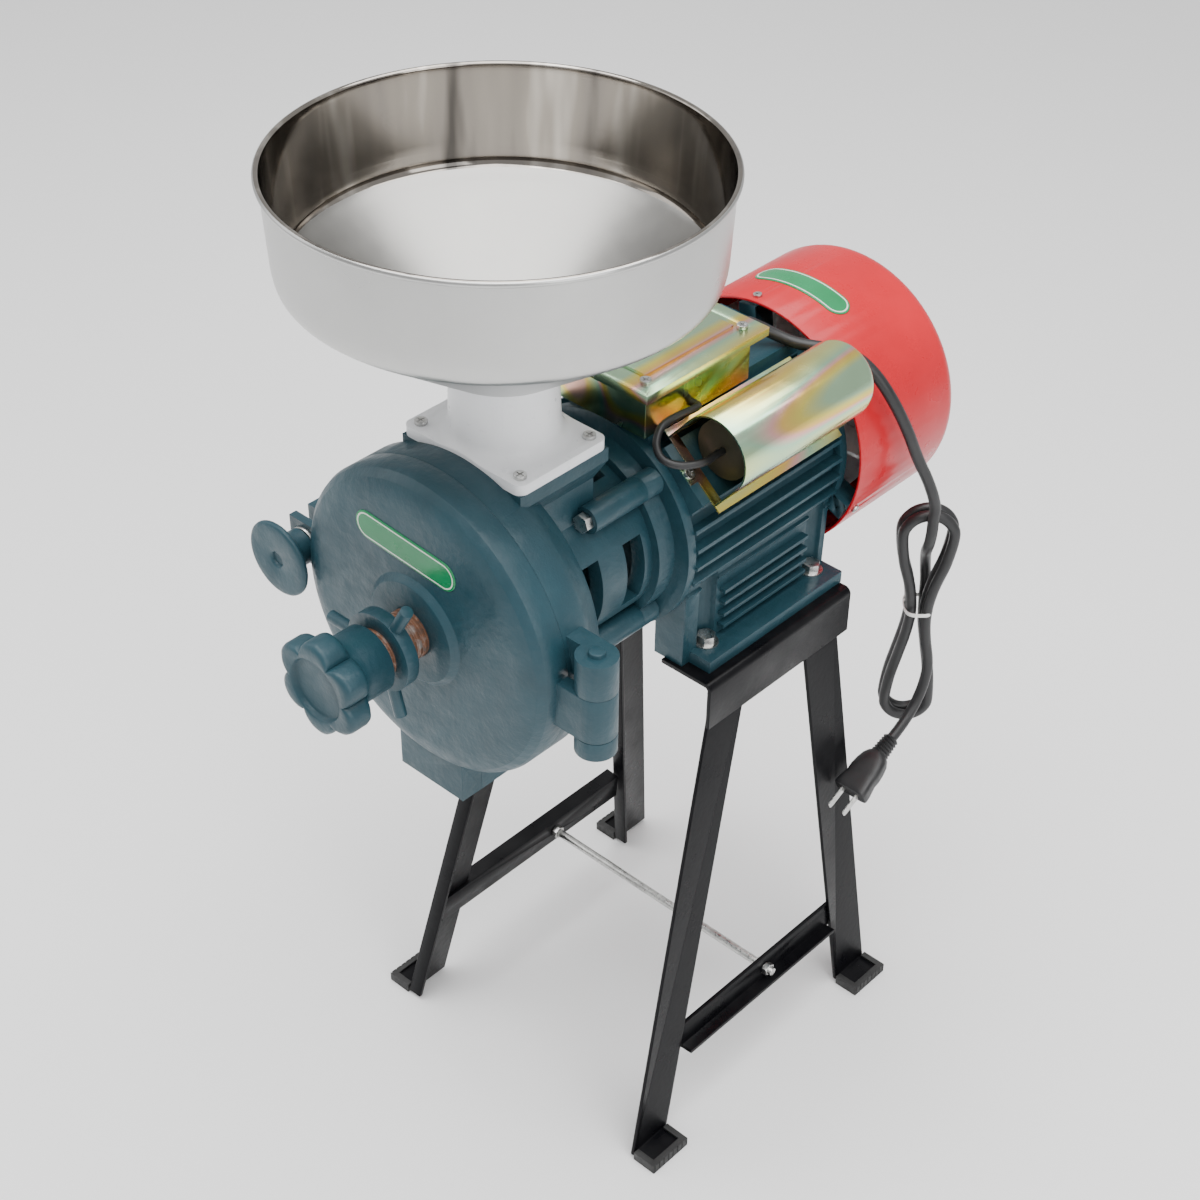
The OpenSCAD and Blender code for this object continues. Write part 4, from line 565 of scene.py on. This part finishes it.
for node in ("stator_core", "rotor_core", "disc_carrier", "stationary_disc", "rotating_disc", "feed_auger"):
    finished(node, bare_iron)
finished("stator_windings", copper)
for node in ("motor_shaft", "front_bearing", "rear_bearing"):
    finished(node, bright_zinc)
for node in ("cooling_fan", "terminal_block"):
    finished(node, white_plastic)

# ---------------------------------------------------------------------------
# The fan cover is drawn from sheet steel and painted glossy red. Slots in its
# rear let the air in, and screws hold it on the lugs of the rear shield.
red_paint = Finish("red paint", base_color=(0.5, 0.008, 0.016), roughness=0.32,
                   specular_ior_level=0.3, coat_weight=0.12, coat_roughness=0.1)
patches = red_paint.noise(14, 4)
red_paint.surface(
    base_color=red_paint.ramp(patches, (0.3, (0.44, 0.006, 0.013)), (0.7, (0.54, 0.01, 0.019))),
    roughness=ramp_grey(red_paint, red_paint.noise(60, 4), 0.24, 0.36),
    normal=red_paint.bump(red_paint.noise(180, 2), 0.00008),
)
rounded_copy("fan_cover", red_paint, "red_paint", 0.35)
rounded_copy("fan_cover_screws", bright_zinc, "zinc", 0.25)

# ---------------------------------------------------------------------------
# The grinder's housing and front cover are iron castings in the same paint.
# Four hex bolts hold the housing's neck, and a pin joins cover and housing.
rounded_copy("grinder_housing", teal_paint, "teal_paint", 1.4, cuts=3)
rounded_copy("front_cover", teal_paint, "teal_paint", 1.2, sharp=22, cuts=3)
rounded_copy("hinge_pin", teal_paint, "teal_paint", 0.7)
rounded_copy("housing_bolts", bright_zinc, "zinc", 0.5)
rounded_copy("lock_ring", teal_paint, "teal_paint", 1.0)

# ---------------------------------------------------------------------------
# The throat is moulded in white plastic and screwed on the inlet pad. The pan
# stands in it on its spigot.
rounded_copy("inlet_throat", white_plastic, "white_plastic", 0.8, sharp=24)
rounded_copy("throat_screws", bright_zinc, "zinc", 0.25)

# ---------------------------------------------------------------------------
# The hopper pan is spun from stainless sheet: a cone with a rounded corner and
# an upright wall, rolled outwards round a wire at its rim. It is satin
# outside and below, and polished inside its wall. The wall's colour is
# painted reflection in dark and light bands, and the floor inside is
# darkened with painted shade.
sheet = 1.2
wall = 127.2
foot_z, rim_z = 622, 745.6
spigot_in, spigot_out, spigot_low = 28.8, 30, 600
bead_r, bead_at = 2, 130.4
pan_share = np.array([[0.3, 0], [0.33, 0.012], [0.91, 0.436], [0.955, 0.468], [0.98, 0.495], [0.993, 0.53],
                      [1, 0.58], [1.02, 0.985]])
outline = pan_share * [wall, rim_z - foot_z] + [0, foot_z]
cone = np.linspace(outline[1], outline[2], 24)
corner = curve_through(outline[2:7], 8)
upright = np.linspace(outline[6], outline[7], 12)
outer = np.vstack([outline[:1], cone, corner[1:], upright[1:]])
slope = np.gradient(outer, axis=0)
slope /= np.linalg.norm(slope, axis=1)[:, None]
inner = outer + sheet * np.stack([-slope[:, 1], slope[:, 0]], -1)
a = np.radians(np.linspace(-150, 150, 24))
bead = np.stack([bead_at + bead_r * np.cos(a), rim_z - bead_r + bead_r * np.sin(a)], -1)
spigot = [(spigot_in, spigot_low), (spigot_out, spigot_low), (spigot_out, foot_z)]
profile = np.vstack([spigot, outer, bead, inner[::-1], [(spigot_in, foot_z + sheet)], spigot[:1]])
pan = skin("spun_pan", carried(spun(profile, 192), (0, -135.4, 0)))

steel = Finish("stainless pan", base_color=(0.5, 0.5, 0.49), metallic=1, roughness=0.25)
arc = np.concatenate([[0], np.cumsum(np.linalg.norm(np.diff(profile, axis=0), axis=1))])
wall_row = len(spigot) + len(outer) + len(bead)
corner_rows = 14
rim_at = arc[wall_row]
corner_at = arc[wall_row + len(upright) + len(corner) - corner_rows]
along = steel.node("ShaderNodeSeparateXYZ", output=1, vector=steel.place(uv=True))
polished = along.above(rim_at - 4) * (1 - along.above(corner_at))
turned = steel.noise(1, 3, where=steel.place(scale=(5, 5, 1400)))
smudge = steel.noise(16, 4, 0.6)
# Noise that sets the painted reflection bands round the polished inner wall.
painted_reflection_bands = steel.noise(1, 3, 0.6, where=steel.place(scale=(26, 26, 3)))
satin_outside = steel.ramp(smudge, (0.3, (0.46, 0.46, 0.45)), (0.7, (0.52, 0.52, 0.51)))
# Painted shade: the inner floor is the same sheet as the outside, darkened for the shade inside the pan.
floor_painted_shade = steel.ramp(smudge, (0.3, (0.27, 0.265, 0.255)), (0.7, (0.32, 0.315, 0.3)))
# Painted reflection: dark and light bands of colour on the polished wall stand in for the studio it mirrors.
wall_painted_reflection = steel.ramp(painted_reflection_bands, (0.32, (0.08, 0.075, 0.07)), (0.42, (0.25, 0.23, 0.21)),
                           (0.56, (0.3, 0.275, 0.245)), (0.66, (0.5, 0.47, 0.43)))
# The outside's colour, with painted shade on the floor inside.
satin_with_floor_painted_shade = steel.between(along.above(corner_at), satin_outside, floor_painted_shade)
satin_rough, polished_rough = ramp_grey(steel, smudge, 0.26, 0.36), ramp_grey(steel, smudge, 0.07, 0.14)
# Base colour: painted reflection on the polished wall, painted shade on the inner floor, and the plain sheet's
# colour outside.
steel.surface(
    base_color=steel.between(polished, satin_with_floor_painted_shade, wall_painted_reflection),
    roughness=satin_rough * (1 - polished) + polished_rough * polished,
    normal=steel.bump(turned * (1 - polished * 0.85), 0.00004),
)
dress(pan, steel, "pan", "steel_pan", "hopper", sharp=50)

# ---------------------------------------------------------------------------
# The adjusting screw is a coarse steel screw with a rusty, oily thread. It
# comes through the cover's boss and carries the lock ring and the knob.
shaft_z = 470
to_front = dict(place=(0, 0, shaft_z), x=(1, 0, 0), y=(0, 0, 1), z=(0, -1, 0))
rusty = Finish("rusty thread", base_color=(0.16, 0.08, 0.045), metallic=0.6, roughness=0.5)
scale_rust = rusty.noise(130, 5, 0.65)
rusty.surface(
    base_color=rusty.ramp(scale_rust, (0.3, (0.05, 0.035, 0.03)), (0.5, (0.17, 0.075, 0.04)),
                          (0.7, (0.3, 0.27, 0.25))),
    metallic=ramp_grey(rusty, scale_rust, 0.2, 0.9),
    roughness=ramp_grey(rusty, rusty.noise(300), 0.35, 0.65),
    normal=rusty.bump(rusty.noise(600), 0.00015),
)


def threaded(from_z, to_z, outer, depth, pitch, steps=48):
    """Screw thread: r = outer - depth * w, where w is 0 on the crest and 1 in the groove as
    z - pitch * turn goes by. The thread runs out at both ends."""
    z = np.arange(from_z, to_z, pitch / 10)[:, None]
    a = np.linspace(0, 2 * np.pi, steps, endpoint=False)[None, :]
    phase = np.mod(z / pitch - a / (2 * np.pi), 1)
    groove = np.clip(1.6 - 3.6 * np.abs(phase - 0.5) * 2, 0, 1)
    ends = np.clip(np.minimum(z - from_z, to_z - z) / 1.5, 0, 1)
    r = outer - depth * (1 - (1 - groove) * ends)
    return np.stack([r * np.cos(a), r * np.sin(a), z + 0 * a], -1)


low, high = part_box("adjusting_screw")
screw_r, thread_depth, thread_pitch, plain_end = 16, 1.3, 4, 6.5
screw = skin("threaded_adjusting_screw", carried(
    threaded(plain_end - high.y * 1000, -low.y * 1000, screw_r, thread_depth, thread_pitch), **to_front))
dress(screw, rusty, "knob", "grey_iron", "adjusting_screw", sharp=60)

# ---------------------------------------------------------------------------
# The adjusting knob is a six-lobed iron casting with a round hub behind it and
# a shallow dish in its face, all under the blue-green paint.
def lobed(levels, steps=192):
    """Star ring: r goes from the lobes' reach at six angles to the waist between them as a
    power of |cos 3a|. Levels are (z, reach, waist)."""
    a = np.linspace(0, 2 * np.pi, steps, endpoint=False)[None, :]
    z, reach, waist = (np.array(column)[:, None] for column in zip(*levels))
    bulge = np.abs(np.cos(3 * (a - math.radians(30)))) ** 0.75
    r = waist + (reach - waist) * bulge
    return np.stack([r * np.cos(a), r * np.sin(a), z + 0 * a], -1)


knob_levels = [(250, 0.01, 0.01), (250, 19, 19), (250.4, 21, 21), (251.4, 22, 22), (268, 22, 22),
               (272, 22.6, 22), (274, 24, 22.4), (275.4, 27, 23), (276.2, 30, 23.4), (277.6, 32.2, 24),
               (280, 33, 24.4), (290, 33, 24.4), (292.4, 32.2, 24), (293.6, 30.4, 23.4), (294, 28.4, 22.8),
               (294, 21.6, 21.6), (293.4, 20.8, 20.8), (290.8, 20.2, 20.2), (290.1, 19.2, 19.2),
               (290, 0.01, 0.01)]
knob = skin("lobed_adjusting_knob", carried(lobed(knob_levels), **to_front))
dress(knob, teal_paint, "knob", "teal_paint", "adjusting_knob", sharp=50)

# ---------------------------------------------------------------------------
# The clamp knob is a painted iron trumpet with a dimple in its face. Its screw
# goes through the lug of the cover into the housing's lug, on a zinc washer.
clamp_levels = [(0, 180.2), (4.2, 180.2), (5, 181), (5, 199.3), (11.2, 199.3), (12, 200), (12, 206.2),
                (12.3, 208), (13, 210), (14.8, 212.2), (18.6, 214.4), (22.6, 216), (24.8, 216.8),
                (25.8, 217.8), (26, 218.8), (25.8, 219.8), (25, 220.6), (23.6, 221.1), (20, 221.2),
                (6.4, 221.2), (5.4, 220.7), (4.6, 219), (0, 218.4)]
clamp = skin("trumpet_clamp_knob", carried(spun(clamp_levels, 96), (-119, 0, 465),
                                           (1, 0, 0), (0, 0, 1), (0, -1, 0)))
dress(clamp, teal_paint, "clamp_turn", "teal_paint", "clamp_knob", sharp=45)
rounded_copy("clamp_washer", bright_zinc, "zinc", 0.3)

# ---------------------------------------------------------------------------
# Two plain labels are glued on: one on the cover and one on top of the fan
# cover. They are green with a pale line round the edge, under clear resin.
def oblong(half_long, half_high, up, steps=24):
    """Ring of an oblong with round ends, at a height: a run of points along each straight side
    and a half circle of half_high about each end's centre."""
    run = half_long - half_high
    a = np.linspace(-np.pi / 2, np.pi / 2, steps)
    side = np.linspace(-run, run, steps)[1:-1]
    end = np.stack([run + half_high * np.cos(a), half_high * np.sin(a)], -1)
    top = np.stack([side[::-1], np.full(steps - 2, half_high)], -1)
    ring = np.vstack([end, top, -end, -top])
    return np.c_[ring, np.full(len(ring), up)]


label = Finish("green label", base_color=(0.01, 0.2, 0.07), roughness=0.3, specular_ior_level=0.3,
               coat_weight=0.15, coat_roughness=0.1)
inset = label.node("ShaderNodeSeparateXYZ", output=1, vector=label.place(uv=True))
pale_line = inset.above(1.9) * (1 - inset.above(2.9))
green = label.between(label.noise(50), (0.006, 0.16, 0.05), (0.014, 0.23, 0.085))
label.surface(
    base_color=label.between(pale_line, green, (0.6, 0.68, 0.6)),
    roughness=ramp_grey(label, label.noise(90), 0.18, 0.3),
    normal=label.bump(label.noise(160, 2), 0.00005),
)
half_high = 10
insets = [(0, 0), (0.0, 0.5), (0.3, 0.72), (0.8, 0.8), (1.8, 0.8), (3.2, 0.8), (6, 0.8), (9.98, 0.8)]
tilt = math.radians(-4)
cover_label = skin("cover_label", carried(
    np.array([oblong(42 - inward, half_high - inward, up) for inward, up in insets]),
    (-5, -214, 526), (math.cos(tilt), 0, math.sin(tilt)), (-math.sin(tilt), 0, math.cos(tilt)), (0, -1, 0)))
dress(cover_label, label, "cover", "green_label", "cover_badge", sharp=60)
fan_cover_r, fan_label_y = 90.4, 146
flat_label = np.array([oblong(39 - inward, half_high - inward, up) for inward, up in insets])
around = flat_label[..., 0] / 91
radius = fan_cover_r + flat_label[..., 2]
fan_label = skin("fan_label", np.stack([radius * np.sin(around), fan_label_y + flat_label[..., 1],
                                        shaft_z + radius * np.cos(around)], -1))
dress(fan_label, label, "stand", "green_label", "fan_cover_label", sharp=60)

# ---------------------------------------------------------------------------
# The terminal box, its lid and the capacitor cover are pressed from steel with
# an iridescent yellow zinc coat: gold, with pink and green bands. The capacitor
# inside its cover has a dark plastic case.
gold_zinc = Finish("yellow zinc", base_color=(0.74, 0.6, 0.24), metallic=1, roughness=0.26)
film = gold_zinc.noise(11, 0, 0.4, where=gold_zinc.place(scale=(2.4, 0.5, 2.4), turn=(0.1, 0.2, 0.05)))
fine = gold_zinc.noise(60, 1)
gold_zinc.surface(
    base_color=gold_zinc.ramp(film, (0.34, (0.44, 0.64, 0.42)), (0.41, (0.8, 0.68, 0.16)),
                              (0.46, (0.86, 0.56, 0.16)), (0.49, (0.82, 0.46, 0.42)),
                              (0.53, (0.42, 0.66, 0.46)), (0.59, (0.66, 0.74, 0.34)),
                              (0.65, (0.86, 0.64, 0.16)), (0.7, (0.78, 0.46, 0.36))),
    roughness=ramp_grey(gold_zinc, fine, 0.2, 0.28),
)
dark_plastic = Finish("dark olive plastic", base_color=(0.035, 0.033, 0.018), roughness=0.45)
dark_plastic.surface(
    base_color=dark_plastic.between(dark_plastic.noise(60), (0.028, 0.026, 0.014), (0.045, 0.042, 0.024)),
    roughness=ramp_grey(dark_plastic, dark_plastic.noise(140), 0.38, 0.55),
)
finished("capacitor", dark_plastic)
rounded_copy("terminal_box", gold_zinc, "gold_zinc", 0.6)
rounded_copy("terminal_box_lid", gold_zinc, "gold_zinc", 1.0)
rounded_copy("capacitor_cover", gold_zinc, "gold_zinc", 0.3)
rounded_copy("lid_screws", bright_zinc, "zinc", 0.25)
rounded_copy("capacitor_screws", bright_zinc, "zinc", 0.25)

# ---------------------------------------------------------------------------
# The studio: a pale floor, a large soft light overhead, two at the sides and
# an even pale sky.
floor_mesh = bpy.data.meshes.new("floor")
floor_mesh.from_pydata([(-6, -6, 0), (6, -6, 0), (6, 6, 0), (-6, 6, 0)], [], [(0, 1, 2, 3)])
floor = bpy.data.objects.new("floor", floor_mesh)
pale_floor = Finish("pale floor", base_color=(0.9, 0.9, 0.9), roughness=0.7)
pale_floor.surface(
    base_color=pale_floor.between(pale_floor.noise(3), (0.89, 0.89, 0.89), (0.91, 0.91, 0.91)))
floor_mesh.materials.append(pale_floor.material)
bpy.context.scene.collection.objects.link(floor)

for name, place, turned, size, power in (
    ("overhead", (0.2, -0.2, 2.4), (0, 0, 0), (2.4, 2.4), 105),
    ("left", (-2.0, -1.2, 1.5), (62, 0, -58), (1.4, 1.8), 12),
    ("right", (2.2, -0.6, 1.3), (65, 0, 76), (1.2, 1.8), 22),
):
    light = bpy.data.objects.new(name, bpy.data.lights.new(name, "AREA"))
    light.data.shape = "RECTANGLE"
    light.data.size, light.data.size_y = size
    light.data.energy = power
    light.location = place
    light.rotation_euler = [math.radians(v) for v in turned]
    bpy.context.scene.collection.objects.link(light)
sky = bpy.data.worlds.new("studio")
sky.use_nodes = True
sky.node_tree.nodes["Background"].inputs["Color"].default_value = (1, 1, 1, 1)
sky.node_tree.nodes["Background"].inputs["Strength"].default_value = 0.7
bpy.context.scene.world = sky
